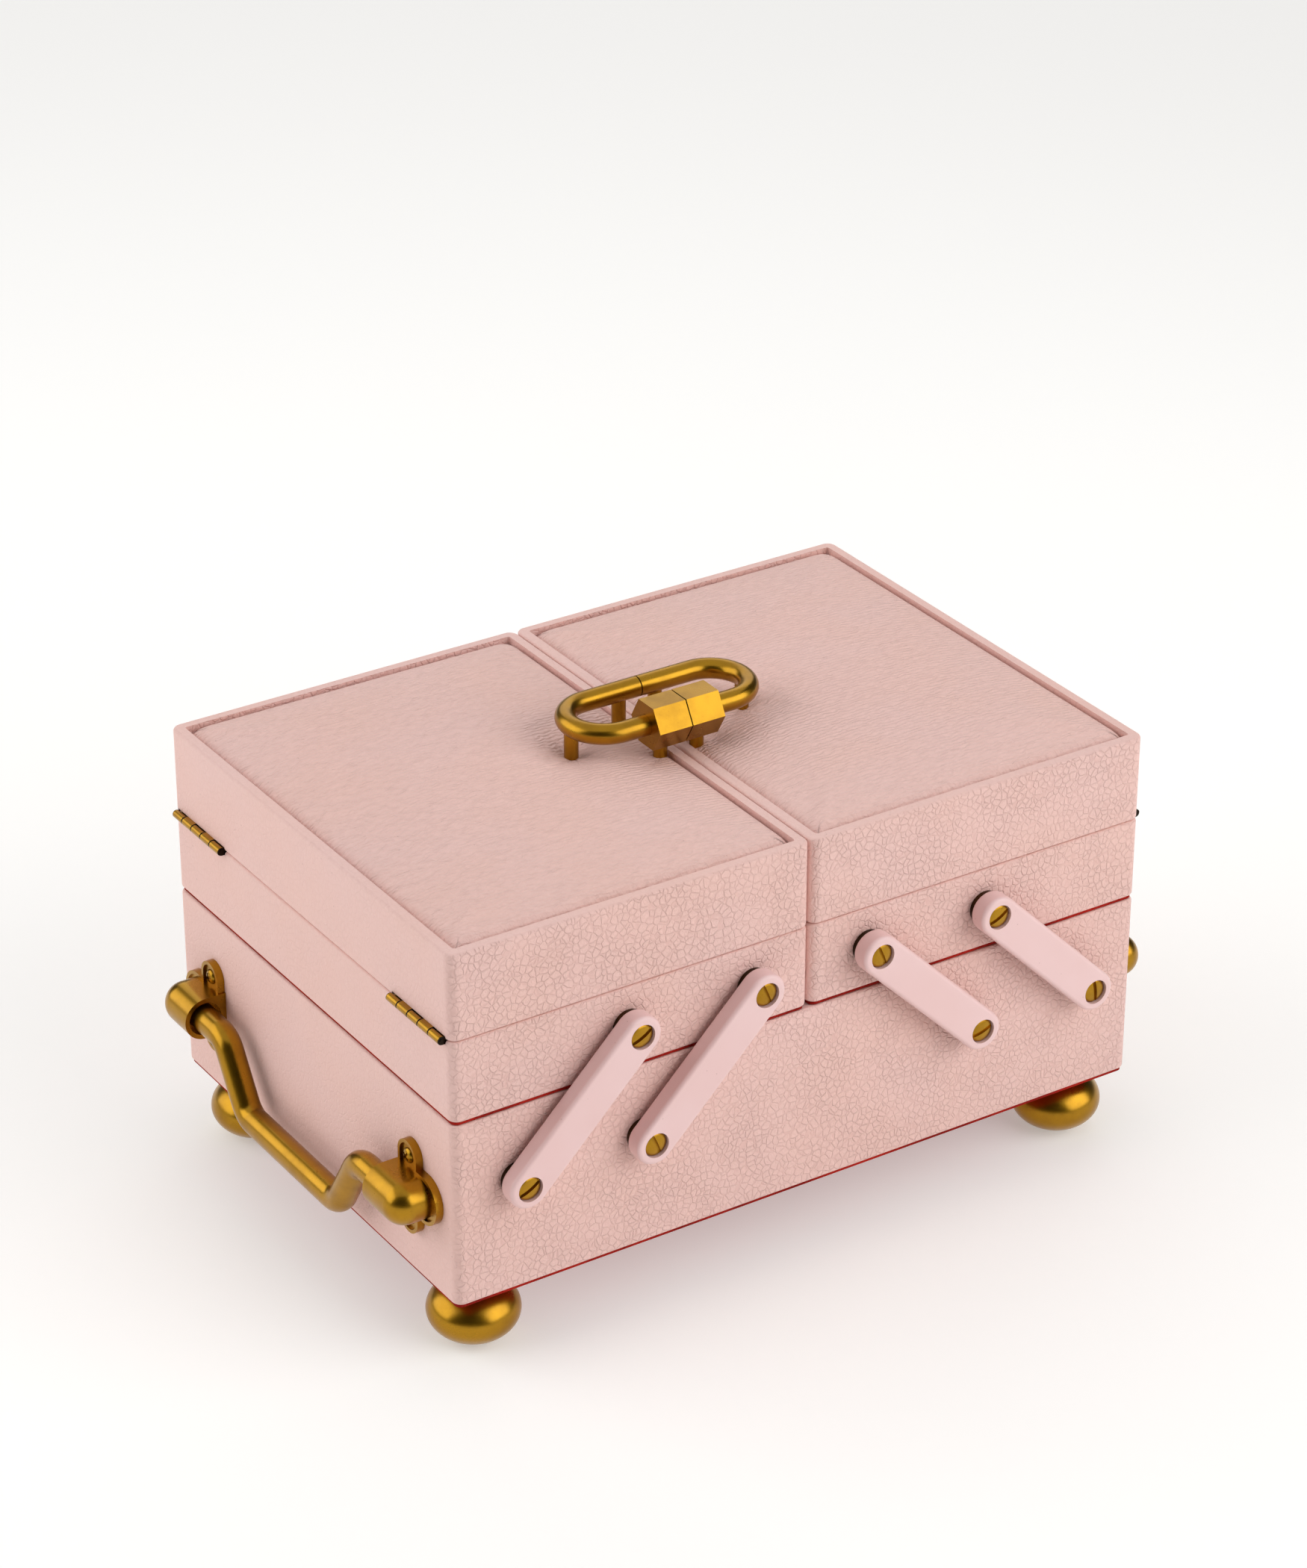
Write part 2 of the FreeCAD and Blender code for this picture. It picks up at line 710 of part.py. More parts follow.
def make_lid(side_name, side):
    """Wooden lid with its leather, lining and the padded panel in its rim."""
    centre = signed(side, "section_centre")
    wood_outline = ("section_wood_length", "base_wood_depth", "inner_corner")
    hollow_outline = ("section_hollow_length", "base_hollow_depth", "lining_thickness")
    name = side_name + "_lid"
    raw = block(
        name + "_wood", wood_outline, "lid_wood_height",
        hollows=[
            (("recess_length", "recess_depth", "lining_thickness"), "lid_recess_height", True),
            (hollow_outline, "lid_hollow_height", False),
        ],
    )
    put(raw, x=centre, z="lid_bottom + wrap_thickness")
    holes = leaf_screw_holes(name, side, "+Z", "lid_bottom")
    holes += post_holes(name + "_wood", side, "fit_gap")
    finish(name + "_carcass", cut(name + "_carcass_cut", raw, holes))

    outer = block(
        name + "_leather", ("section_length", "box_depth", "corner_radius"),
        "lid_wrap_height", rounded=("wrap_edge_radius", True, True),
        hollows=[
            (("mouth_length", "mouth_depth", "lining_thickness"), "pad_depth", True),
            (hollow_outline, "lid_wrap_hollow", False),
        ],
    )
    put(outer, x=centre, z="lid_bottom")
    openings = hinge_mortises(name, side, "tray_top", "lid_bottom + wrap_thickness")
    finish(name + "_leather_wrap", cut(name + "_leather_cut", outer, [raw] + openings))

    lining = block(
        name + "_lining_block", hollow_outline, "lid_wrap_hollow",
        hollows=[(
            ("section_inside_length", "base_inside_depth", "fit_gap"),
            "lid_lining_hollow", False,
        )],
    )
    put(lining, x=centre, z="lid_bottom")
    finish(name + "_lining", lining)

    pad = block(
        name + "_pad", ("pad_length", "pad_width", "lining_thickness"), "pad_depth",
        rounded=("pad_edge_radius", False, True),
    )
    put(pad, x=centre, z="pad_floor")
    pad_holes = post_holes(name + "_pad", side, "post_gap")
    finish(name + "_padded_panel", cut(name + "_pad_cut", pad, pad_holes))


# --- feet, handles and brackets ---------------------------------------------------------------

def make_feet():
    """Flattened balls with a flat to stand on, a short neck and a stud into the base's floor."""
    for place, x, y in foot_places():
        ball = doc.addObject("Part::Ellipsoid", place + "_ball")
        bind(
            ball,
            Radius1="foot_half_axis",
            Radius2="foot_diameter / 2",
            Radius3="foot_diameter / 2",
        )
        put(ball, x, y, "foot_centre")
        slab = rod(place + "_slab", "+Z", "foot_diameter / 2", "foot_height", x, y)
        flattened = doc.addObject("Part::Common", place + "_flattened")
        flattened.Base = ball
        flattened.Tool = slab
        neck = rod(
            place + "_neck", "+Z", "foot_neck_diameter / 2", "foot_height - foot_centre", x, y,
            "foot_centre",
        )
        stud = rod(
            place + "_stud", "+Z", "stud_diameter / 2", "panel_thickness + stud_length", x, y,
            "foot_height",
        )
        finish(place + "_foot", fuse(place + "_foot_fuse", [flattened, neck, stud]))


def handle_spine(sketch):
    """Journal, sloping leg, grip, leg and journal, with a bend at each elbow."""
    end = size("journal_out")
    bend_start = size("bend_start")
    grip_start = size("grip_start")
    radius = size("bend_radius")
    drop = size("handle_drop")
    turn = math.radians(size("leg_turn"))
    rise = math.pi / 2 - turn
    upper_in = (bend_start - radius * math.sin(turn), -radius * (1 - math.cos(turn)))
    lower_in = (grip_start + radius * math.sin(turn), -drop + radius * (1 - math.cos(turn)))

    def line(start, finish_point):
        return sketch.addGeometry(
            Part.LineSegment(FreeCAD.Vector(*start, 0), FreeCAD.Vector(*finish_point, 0))
        )

    def arc(centre, start, stop):
        circle = Part.Circle(FreeCAD.Vector(*centre, 0), UP, radius)
        return sketch.addGeometry(Part.ArcOfCircle(circle, start, stop))

    first = line((-end, 0), (-bend_start, 0))
    upper_left = arc((-bend_start, -radius), rise, math.pi / 2)
    left_leg = line((-upper_in[0], upper_in[1]), (-lower_in[0], lower_in[1]))
    lower_left = arc((-grip_start, radius - drop), math.pi + rise, 1.5 * math.pi)
    grip = line((-grip_start, -drop), (grip_start, -drop))
    lower_right = arc((grip_start, radius - drop), 1.5 * math.pi, 2 * math.pi - rise)
    right_leg = line(lower_in, upper_in)
    upper_right = arc((bend_start, -radius), math.pi / 2, math.pi - rise)
    last = line((bend_start, 0), (end, 0))

    joints = [
        (first, 2, upper_left, 2),
        (upper_left, 1, left_leg, 1),
        (left_leg, 2, lower_left, 1),
        (lower_left, 2, grip, 1),
        (grip, 2, lower_right, 1),
        (lower_right, 2, right_leg, 1),
        (right_leg, 2, upper_right, 2),
        (upper_right, 1, last, 1),
    ]
    for joint in joints:
        sketch.addConstraint(Sketcher.Constraint("Tangent", *joint))
    for level in (first, grip, last):
        sketch.addConstraint(Sketcher.Constraint("Horizontal", level))
    for other in (lower_left, lower_right, upper_right):
        sketch.addConstraint(Sketcher.Constraint("Equal", upper_left, other))
    sketch.addConstraint(Sketcher.Constraint("PointOnObject", first, 1, -1))
    sketch.addConstraint(Sketcher.Constraint("PointOnObject", last, 2, -1))
    name_constraint(sketch, Sketcher.Constraint("Radius", upper_left, radius), "bend", "bend_radius")
    origin = (-1, 1)
    distances = {
        "left_journal": ("DistanceX", (first, 1), origin, end, "journal_out"),
        "right_journal": ("DistanceX", origin, (last, 2), end, "journal_out"),
        "left_shoulder": ("DistanceX", (first, 2), origin, bend_start, "bend_start"),
        "right_shoulder": ("DistanceX", origin, (last, 1), bend_start, "bend_start"),
        "left_grip": ("DistanceX", (grip, 1), origin, grip_start, "grip_start"),
        "right_grip": ("DistanceX", origin, (grip, 2), grip_start, "grip_start"),
        "hanging": ("DistanceY", (grip, 1), origin, drop, "handle_drop"),
    }
    for name, (kind, start, stop, length, text) in distances.items():
        name_constraint(sketch, Sketcher.Constraint(kind, *start, *stop, length), name, text)


def make_handle(side_name, side):
    """One bent bar that hangs from its two brackets."""
    body = doc.addObject("PartDesign::Body", side_name + "_handle_bar")
    spine = new_sketch(body, side_name + "_handle_spine", "YZ_Plane")
    handle_spine(spine)
    section = new_sketch(body, side_name + "_handle_section", "XZ_Plane", "journal_out")
    section.addGeometry(Part.Circle(FreeCAD.Vector(), UP, size("bar_diameter") / 2))
    section.addConstraint(Sketcher.Constraint("Coincident", 0, 3, -1, 1))
    width = Sketcher.Constraint("Diameter", 0, size("bar_diameter"))
    name_constraint(section, width, "bar_width", "bar_diameter")
    doc.recompute()
    pipe = body.newObject("PartDesign::AdditivePipe", side_name + "_handle_pipe")
    pipe.Profile = section
    pipe.Spine = spine
    put(body, x=signed(side, "handle_axis"), z="handle_level")
    finish(side_name + "_handle", body)


def flange_outline(place, side, face, inset, low, high):
    """Solids that make a bracket's flange outline, drawn in by an inset: lobe, ears and web."""
    out = "+X" if side > 0 else "-X"
    start = signed(side, f"half_box + {low}")
    depth = f"{high} - {low}"
    lobe_y = signed(face, "lobe_out")
    ear_y = signed(face, "ear_out")
    across = side_range(side, f"half_box + {low}", f"half_box + {high}")
    solids = [rod(
        place + "_lobe", out, f"lobe_radius - {inset}", depth, start, lobe_y, "handle_level"
    )]
    for rise_name, rise in (("lower", -1), ("upper", 1)):
        solids.append(rod(
            f"{place}_{rise_name}_ear", out, f"ear_radius - {inset}", depth, start, ear_y,
            f"handle_level + {signed(rise, 'ear_rise')}",
        ))
    solids.append(box(
        place + "_ear_web", across,
        side_range(face, f"ear_out - ear_radius + {inset}", f"ear_out + ear_radius - {inset}"),
        ("handle_level - ear_rise", "handle_level + ear_rise"),
    ))
    solids.append(box(
        place + "_lobe_web", across, side_range(face, "ear_out", "lobe_out"),
        (f"handle_level - lobe_radius + {inset}", f"handle_level + lobe_radius - {inset}"),
    ))
    return solids


def make_bracket(place, side, face):
    """A rimmed flange with a round lobe and two ears, and a housing for the handle's journal."""
    out = "+X" if side > 0 else "-X"
    wall = signed(side, "half_box")
    axis = signed(side, "handle_axis")
    along = "+Y" if face > 0 else "-Y"
    ear_y = signed(face, "ear_out")
    mouth = signed(face, "housing_mouth")
    closed_y = signed(face, "housing_end - housing_radius")
    plate = fuse(
        place + "_plate", flange_outline(place, side, face, "0", "0", "flange_thickness")
    )
    sunk = fuse(place + "_sunk", flange_outline(
        place + "_inner", side, face, "flange_rim", "flange_floor", "flange_thickness"
    ))
    flange = cut(place + "_flange", plate, [sunk])
    barrel = rod(
        place + "_barrel", along, "housing_radius",
        "housing_end - housing_radius - housing_mouth", axis, mouth, "handle_level",
    )
    cheek = box(
        place + "_cheek", side_range(side, "half_box", "handle_axis"),
        side_range(face, "housing_mouth", "housing_end - housing_radius"),
        ("handle_level - housing_radius", "handle_level + housing_radius"),
    )
    cap = doc.addObject("Part::Sphere", place + "_cap")
    bind(cap, Radius="housing_radius")
    put(cap, axis, closed_y, "handle_level")
    cap_foot = rod(
        place + "_cap_foot", out, "housing_radius", "handle_axis - half_box", wall, closed_y,
        "handle_level",
    )
    whole = fuse(place + "_bracket_fuse", [flange, barrel, cheek, cap, cap_foot])
    tools = [
        rod(
            place + "_bore", along, "bar_diameter / 2 + fit_gap", "bore_end - housing_mouth",
            axis, mouth, "handle_level",
        ),
        rod(
            place + "_mouth_bore", along, "mouth_radius", "mouth_end - housing_mouth",
            axis, mouth, "handle_level",
        ),
    ]
    for rise_name, rise in (("lower", -1), ("upper", 1)):
        tools.append(rod(
            f"{place}_{rise_name}_screw_hole", out, "shank_diameter / 2 + fit_gap",
            "flange_thickness", wall, ear_y, f"handle_level + {signed(rise, 'ear_rise')}",
        ))
    finish(place + "_handle_bracket", cut(place + "_bracket_cut", whole, tools))


def make_bracket_screws():
    """Domed cross-head screws; the master stands on Z = 0 with its shank downwards."""
    head = rod("cross_head_edge", "+Z", "cross_head_diameter / 2", "cross_head_height")
    dome = doc.addObject("Part::Ellipsoid", "cross_head_dome")
    bind(
        dome,
        Radius1="cross_head_height",
        Radius2="cross_head_diameter / 2",
        Radius3="cross_head_diameter / 2",
    )
    domed = doc.addObject("Part::Common", "cross_head_domed")
    domed.Base = head
    domed.Tool = dome
    shank = rod("cross_shank", "-Z", "shank_diameter / 2", "shank_length + flange_floor")
    whole = fuse("cross_screw_fuse", [domed, shank])
    top = ("cross_head_height - cross_depth", "cross_head_height")
    arm = ("-cross_length / 2", "cross_length / 2")
    narrow = ("-cross_width / 2", "cross_width / 2")
    slots = [box("cross_slot_a", arm, narrow, top), box("cross_slot_b", narrow, arm, top)]
    master = cut("cross_screw_master", whole, slots)
    copies = []
    for number, (place, side, y, z) in enumerate(bracket_screw_places()):
        turn = TURNS["+X" if side > 0 else "-X"]
        spin = FreeCAD.Rotation(UP, 23 + 31 * number)
        x = signed(side, "half_box + flange_floor")
        copies.append(copy_of(master, "bracket_screw_" + place, x, y, z, turn.multiply(spin)))
    finish("bracket_screws", group("bracket_screw_group", copies))


# --- arms and pivot screws --------------------------------------------------------------------

def slot_outline(sketch):
    """A straight bar with round ends about two pivots, the first at the origin."""
    length = size("arm_length")
    radius = size("arm_end_radius")
    quarter = math.pi / 2
    ends = (
        Part.ArcOfCircle(Part.Circle(FreeCAD.Vector(), UP, radius), quarter, 3 * quarter),
        Part.ArcOfCircle(
            Part.Circle(FreeCAD.Vector(length, 0, 0), UP, radius), -quarter, quarter
        ),
    )
    lines = (
        Part.LineSegment(FreeCAD.Vector(0, -radius, 0), FreeCAD.Vector(length, -radius, 0)),
        Part.LineSegment(FreeCAD.Vector(length, radius, 0), FreeCAD.Vector(0, radius, 0)),
    )
    for piece in ends + lines:
        sketch.addGeometry(piece)
    for joint in ((0, 2, 2, 1), (2, 2, 1, 1), (1, 2, 3, 1), (3, 2, 0, 1)):
        sketch.addConstraint(Sketcher.Constraint("Tangent", *joint))
    sketch.addConstraint(Sketcher.Constraint("Coincident", 0, 3, -1, 1))
    sketch.addConstraint(Sketcher.Constraint("PointOnObject", 1, 3, -1))
    sketch.addConstraint(Sketcher.Constraint("Equal", 0, 1))
    name_constraint(sketch, Sketcher.Constraint("Radius", 0, radius), "end", "arm_end_radius")
    apart = Sketcher.Constraint("DistanceX", 0, 3, 1, 3, length)
    name_constraint(sketch, apart, "pivots", "arm_length")


def pivot_circles(sketch, radius):
    """One circle about each pivot of an arm."""
    length = size("arm_length")
    for x in (0, length):
        sketch.addGeometry(Part.Circle(FreeCAD.Vector(x, 0, 0), UP, size(radius)))
    sketch.addConstraint(Sketcher.Constraint("Coincident", 0, 3, -1, 1))
    sketch.addConstraint(Sketcher.Constraint("PointOnObject", 1, 3, -1))
    sketch.addConstraint(Sketcher.Constraint("Equal", 0, 1))
    name_constraint(sketch, Sketcher.Constraint("Radius", 0, size(radius)), "hole", radius)
    apart = Sketcher.Constraint("DistanceX", 0, 3, 1, 3, length)
    name_constraint(sketch, apart, "pivots", "arm_length")


def make_arm(side_name, side, face_name, face, reach):
    """One pink arm, leaning towards the middle of the box as it rises to its tray."""
    name = f"{face_name}_{side_name}_{reach}_arm"
    body = doc.addObject("PartDesign::Body", name + "_bar")
    outline = new_sketch(body, name + "_outline", "XZ_Plane")
    slot_outline(outline)
    pad = body.newObject("PartDesign::Pad", name + "_pad")
    pad.Profile = outline
    pad.Reversed = face > 0
    bind(pad, Length="arm_thickness")
    doc.recompute()
    edges = [
        f"Edge{index + 1}" for index, edge in enumerate(pad.Shape.Edges)
        if edge.BoundBox.YLength < 1e-6
    ]
    fillet = body.newObject("PartDesign::Fillet", name + "_edges")
    fillet.Base = (pad, edges)
    bind(fillet, Radius="arm_edge_radius")
    outer_face = "arm_thickness" if face < 0 else "-arm_thickness"
    for hole, radius, depth in (
        ("counterbore", "counterbore_radius", "counterbore_depth"),
        ("bore", "pivot_bore", "arm_thickness"),
    ):
        sketch = new_sketch(body, f"{name}_{hole}_circles", "XZ_Plane", outer_face)
        pivot_circles(sketch, radius)
        pocket = body.newObject("PartDesign::Pocket", f"{name}_{hole}")
        pocket.Profile = sketch
        pocket.Reversed = face > 0
        bind(pocket, Length=depth)
    turn = FreeCAD.Rotation(FreeCAD.Vector(0, -1, 0), 45)
    put(body, signed(side, reach + "_pivot"), signed(face, "arm_face"), "base_pivot", turn)
    body.setExpression("Placement.Rotation.Angle", formula(side_name + "_lean"))
    finish(name, body)


def pivot_screw_master():
    """Shoulder screw: Z = 0 is the outside of the wall, the head points to +Z."""
    seat = "head_seat - face_depth"
    head = rod("pivot_head_edge", "+Z", "head_diameter / 2", "head_edge", z=seat)
    dome = doc.addObject("Part::Ellipsoid", "pivot_head_dome")
    bind(
        dome,
        Radius1="head_dome",
        Radius2="head_diameter / 2",
        Radius3="head_diameter / 2",
        Angle1="0",
    )
    put(dome, z=f"{seat} + head_edge")
    shoulder = rod(
        "pivot_shoulder", "+Z", "shoulder_diameter / 2", f"{seat} + wrap_thickness",
        z="-wrap_thickness",
    )
    thread = rod(
        "pivot_thread", "-Z", "thread_diameter / 2", "thread_length", z="-wrap_thickness"
    )
    whole = fuse("pivot_screw_fuse", [head, dome, shoulder, thread])
    crown = f"{seat} + head_edge + head_dome"
    slot = box(
        "pivot_slot",
        ("-head_diameter", "head_diameter"),
        ("-slot_width / 2", "slot_width / 2"),
        (f"{crown} - slot_depth", crown),
    )
    return cut("pivot_screw_master", whole, [slot])


def washer_master():
    """Spacer washer between the wall and an arm, lying on Z = 0."""
    disc = rod("washer_disc", "+Z", "washer_diameter / 2", "washer_thickness")
    hole = rod("washer_hole", "+Z", "pivot_bore", "washer_thickness")
    return cut("washer_master", disc, [hole])


SLOT_TURNS = (28, 112, 64, 151, 95, 17, 133, 71)


def make_pivot_hardware():
    """Screws and washers of the base's eight pivots and of each tray's four."""
    screw = pivot_screw_master()
    washer = washer_master()
    sets = {
        "base": list(base_pivots()),
        "left_tray": list(tray_pivots(-1)),
        "right_tray": list(tray_pivots(1)),
    }
    for owner, places in sets.items():
        screws = []
        washers = []
        for number, (place, face, x, level) in enumerate(places):
            turn = TURNS["+Y" if face > 0 else "-Y"]
            spin = FreeCAD.Rotation(UP, SLOT_TURNS[number])
            y = signed(face, "face_depth")
            screws.append(copy_of(
                screw, f"{owner}_arm_screw_{place}", x, y, level, turn.multiply(spin)
            ))
            washers.append(copy_of(washer, f"{owner}_arm_washer_{place}", x, y, level, turn))
        finish(owner + "_arm_screws", group(owner + "_arm_screw_group", screws))
        finish(owner + "_arm_washers", group(owner + "_arm_washer_group", washers))


# --- hinges --------------------------------------------------------------------------------------

def leaf_screw_master():
    """Countersunk screw with its head flush with Z = 0 and its point to -Z."""
    cone = doc.addObject("Part::Cone", "leaf_screw_cone_head")
    bind(
        cone,
        Radius1="leaf_screw_head / 2",
        Radius2="leaf_screw_shank / 2",
        Height="leaf_screw_cone",
    )
    put(cone, turn=TURNS["-Z"])
    shank = rod("leaf_screw_body", "-Z", "leaf_screw_shank / 2", "leaf_screw_length - fit_gap")
    whole = fuse("leaf_screw_fuse", [cone, shank])
    slot = box(
        "leaf_screw_slot",
        ("-leaf_screw_head", "leaf_screw_head"),
        ("-leaf_slot_width / 2", "leaf_slot_width / 2"),
        ("-leaf_slot_depth", "0"),
    )
    return cut("leaf_screw_master", whole, [slot])


def make_leaf(name, side, place, face, knuckles, plate, bore, screw_way, screw_face):
    """One hinge leaf: a plate in its mortise, and the knuckles that carry it."""
    middle = signed(face, "hinge_out")
    start = f"{middle} - hinge_length / 2"
    axis = signed(side, "hinge_axis")
    solids = [box(
        f"{name}_plate", side_range(side, "half_box - leaf_width", "half_box - leaf_setback"),
        (start, f"{middle} + hinge_length / 2"), plate,
    )]
    for index in knuckles:
        low = f"{start} + {index} * knuckle_pitch + knuckle_gap / 2"
        high = f"{start} + {index + 1} * knuckle_pitch - knuckle_gap / 2"
        solids.append(rod(
            f"{name}_knuckle_{index}", "+Y", "knuckle_diameter / 2",
            "knuckle_pitch - knuckle_gap", axis, low, "hinge_level",
        ))
        solids.append(box(
            f"{name}_tab_{index}", side_range(side, "half_box - 2 * leaf_setback", "hinge_axis"),
            (low, high), plate,
        ))
    whole = fuse(name + "_fuse", solids)
    tools = [rod(
        name + "_pin_bore", "+Y", bore, "hinge_length", axis, start, "hinge_level"
    )]
    for end_name, end in (("near", -1), ("far", 1)):
        y = f"{middle} + {signed(end, 'leaf_screw_spread')}"
        x = signed(side, "leaf_screw_line")
        sink = doc.addObject("Part::Cone", f"{name}_countersink_{end_name}")
        bind(
            sink,
            Radius1="leaf_screw_head / 2 + fit_gap",
            Radius2="leaf_screw_shank / 2 + fit_gap",
            Height="leaf_screw_cone",
        )
        put(sink, x, y, screw_face, TURNS[screw_way])
        tools.append(sink)
        tools.append(rod(
            f"{name}_screw_bore_{end_name}", screw_way, "leaf_screw_shank / 2 + fit_gap",
            "wrap_thickness", x, y, screw_face,
        ))
    return cut(name + "_cut", whole, tools)


def make_hinges(side_name, side, screw):
    """Both hinges of one side: tray leaves with their pins, lid leaves and all the screws."""
    tray_knuckles = range(0, KNUCKLES, 2)
    lid_knuckles = range(1, KNUCKLES, 2)
    tray_plate = ("tray_top - wrap_thickness", "tray_top")
    lid_plate = ("lid_bottom", "lid_bottom + wrap_thickness")
    tray_leaves = []
    lid_leaves = []
    pins = []
    for place, face in hinge_places():
        name = f"{side_name}_{place}_hinge"
        tray_leaves.append(make_leaf(
            name + "_tray_leaf", side, place, face, tray_knuckles, tray_plate,
            "hinge_pin_diameter / 2", "-Z", "tray_top",
        ))
        lid_leaves.append(make_leaf(
            name + "_lid_leaf", side, place, face, lid_knuckles, lid_plate,
            "hinge_pin_diameter / 2 + fit_gap", "+Z", "lid_bottom",
        ))
        pins.append(rod(
            name + "_pin", "+Y", "hinge_pin_diameter / 2", "hinge_length",
            signed(side, "hinge_axis"), f"{signed(face, 'hinge_out')} - hinge_length / 2",
            "hinge_level",
        ))
    finish(side_name + "_tray_hinge_leaves", group(side_name + "_tray_leaf_group", tray_leaves))
    finish(side_name + "_lid_hinge_leaves", group(side_name + "_lid_leaf_group", lid_leaves))
    finish(side_name + "_hinge_pins", group(side_name + "_pin_group", pins))
    for owner, level, turn in (("tray", "tray_top", "+Z"), ("lid", "lid_bottom", "-Z")):
        copies = []
        for number, (place, x, y) in enumerate(leaf_screw_places(side)):
            spin = FreeCAD.Rotation(UP, 40 * number + 15)
            label = f"{side_name}_{owner}_hinge_screw_{place}"
            copies.append(copy_of(screw, label, x, y, level, TURNS[turn].multiply(spin)))
        node = f"{side_name}_{owner}_hinge_screws"
        finish(node, group(f"{side_name}_{owner}_screw_group", copies))


# --- clasp ----------------------------------------------------------------------------------------

def make_clasp(side_name, side):
    """Half of a round-rod link, and the half of its hexagonal nut, on their posts."""
    out = "+X" if side > 0 else "-X"
    start = signed(side, "centre_gap / 2")
    posts = post_places(side)

    def post(place):
        x, y = posts[place]
        return rod(
            f"{side_name}_{place}_post", "+Z", "post_diameter / 2", "link_level - post_foot",
            x, y, "post_foot",
        )

    pieces = []
    for rod_name, y in (
        ("front", "link_shift - link_bend"),
        ("rear", "link_shift + link_bend"),
    ):
        pieces.append(rod(
            f"{side_name}_{rod_name}_rod", out, "rod_diameter / 2",
            "link_straight - centre_gap / 2", start, y, "link_level",
        ))
    bend = doc.addObject("Part::Torus", side_name + "_link_bend")
    bind(bend, Radius1="link_bend", Radius2="rod_diameter / 2")
    bend.Angle3 = 180
    quarter = 90 if side < 0 else -90
    put(
        bend, signed(side, "link_straight"), "link_shift", "link_level",
        FreeCAD.Rotation(UP, quarter),
    )
    link = fuse(side_name + "_link_fuse", pieces + [bend, post("rear"), post("end")])
    finish(side_name + "_clasp_link", link)

    prism = doc.addObject("Part::Prism", side_name + "_nut_prism")
    prism.Polygon = 6
    bind(prism, Circumradius="nut_radius", Height="nut_length - centre_gap / 2")
    flats_up = TURNS[out].multiply(FreeCAD.Rotation(UP, 30))
    put(prism, start, "link_shift - link_bend", "link_level", flats_up)
    nut = fuse(side_name + "_nut_fuse", [prism, post("nut")])
    hole = rod(
        side_name + "_nut_bore", out, "rod_diameter / 2 + fit_gap", "nut_length", start,
        "link_shift - link_bend", "link_level",
    )
    finish(side_name + "_clasp_nut", cut(side_name + "_nut_cut", nut, [hole]))


# --- whole box ---------------------------------------------------------------------------------

def build():
    fill_sheet()
    make_base()
    make_feet()
    for place, side, face in bracket_places():
        make_bracket(place, side, face)
    make_bracket_screws()
    make_pivot_hardware()
    leaf_screw = leaf_screw_master()
    for side_name, side in SIDES.items():
        for face_name, face in FACES.items():
            for reach in ("outer", "inner"):
                make_arm(side_name, side, face_name, face, reach)
        make_handle(side_name, side)
        make_tray(side_name, side)
        make_lid(side_name, side)
        make_hinges(side_name, side, leaf_screw)
        make_clasp(side_name, side)
    doc.recompute()


def check_and_write():
    faults = []
    for thing in doc.Objects:
        if "Invalid" in thing.State or "Error" in thing.State:
            faults.append(f"{thing.Name}: {thing.State}")
    for node, thing in finished.items():
        shape = thing.Shape
        if shape.isNull() or not shape.isValid() or not shape.Solids:
            faults.append(f"{node}: bad shape")
    if faults:
        raise RuntimeError("\n".join(faults))
    os.makedirs("parts", exist_ok=True)
    for node, thing in finished.items():
        thing.Shape.exportStep(f"parts/{node}.step")
        print(f"{node}: {len(thing.Shape.Solids)} solids, {thing.Shape.Volume:.1f} mm3")
    print(len(finished), "nodes")


build()
check_and_write()
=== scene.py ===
import math
from functools import partial

import bpy
import numpy as np
from bpy.props import FloatProperty, FloatVectorProperty, PointerProperty
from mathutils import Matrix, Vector


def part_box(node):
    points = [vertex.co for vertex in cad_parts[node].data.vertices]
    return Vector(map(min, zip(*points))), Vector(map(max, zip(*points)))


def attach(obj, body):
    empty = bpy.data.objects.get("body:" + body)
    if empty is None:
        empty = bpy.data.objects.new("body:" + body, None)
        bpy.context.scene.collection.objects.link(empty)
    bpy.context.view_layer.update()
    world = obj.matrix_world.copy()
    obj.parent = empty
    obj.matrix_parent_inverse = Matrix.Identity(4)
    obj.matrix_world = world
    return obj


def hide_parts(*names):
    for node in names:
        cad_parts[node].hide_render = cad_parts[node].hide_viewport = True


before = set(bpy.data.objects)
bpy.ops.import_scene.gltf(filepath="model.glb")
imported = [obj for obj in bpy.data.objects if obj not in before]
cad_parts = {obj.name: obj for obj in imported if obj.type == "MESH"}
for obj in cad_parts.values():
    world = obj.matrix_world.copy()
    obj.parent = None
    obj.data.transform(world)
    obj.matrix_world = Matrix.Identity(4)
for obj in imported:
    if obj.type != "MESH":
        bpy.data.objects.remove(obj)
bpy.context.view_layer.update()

# Sewing box with two swing-out trays: materials for the packed parts, the padded lid panels and
# a plain studio.  Lengths in the settings are millimetres; meshes are in metres, in the frame of
# the packed model.

bl_info = {
    "name": "Sewing Box with Trays",
    "version": (1, 0, 0),
    "blender": (4, 5, 0),
    "location": "View3D > Sidebar > Sewing Box",
    "description": "Finishes, padded lid panels and studio of a leather sewing box",
    "category": "Object",
}

MM = 0.001
SIDES = ("left", "right")

# columns and rows of points on a padded panel: for the swelling, and for the finished surface
COARSE_GRID = (49, 63)
FINE_GRID = (121, 151)
BOARD_LIFT = 0.03       # share of a panel's height that its underside stays above the board
SWELL_STEPS = 20
PIN_LEVELS = 20
FOLDS = 11              # puckers round one post
NO_POST = 99            # distance from a post, in millimetres, on a panel's sides and underside

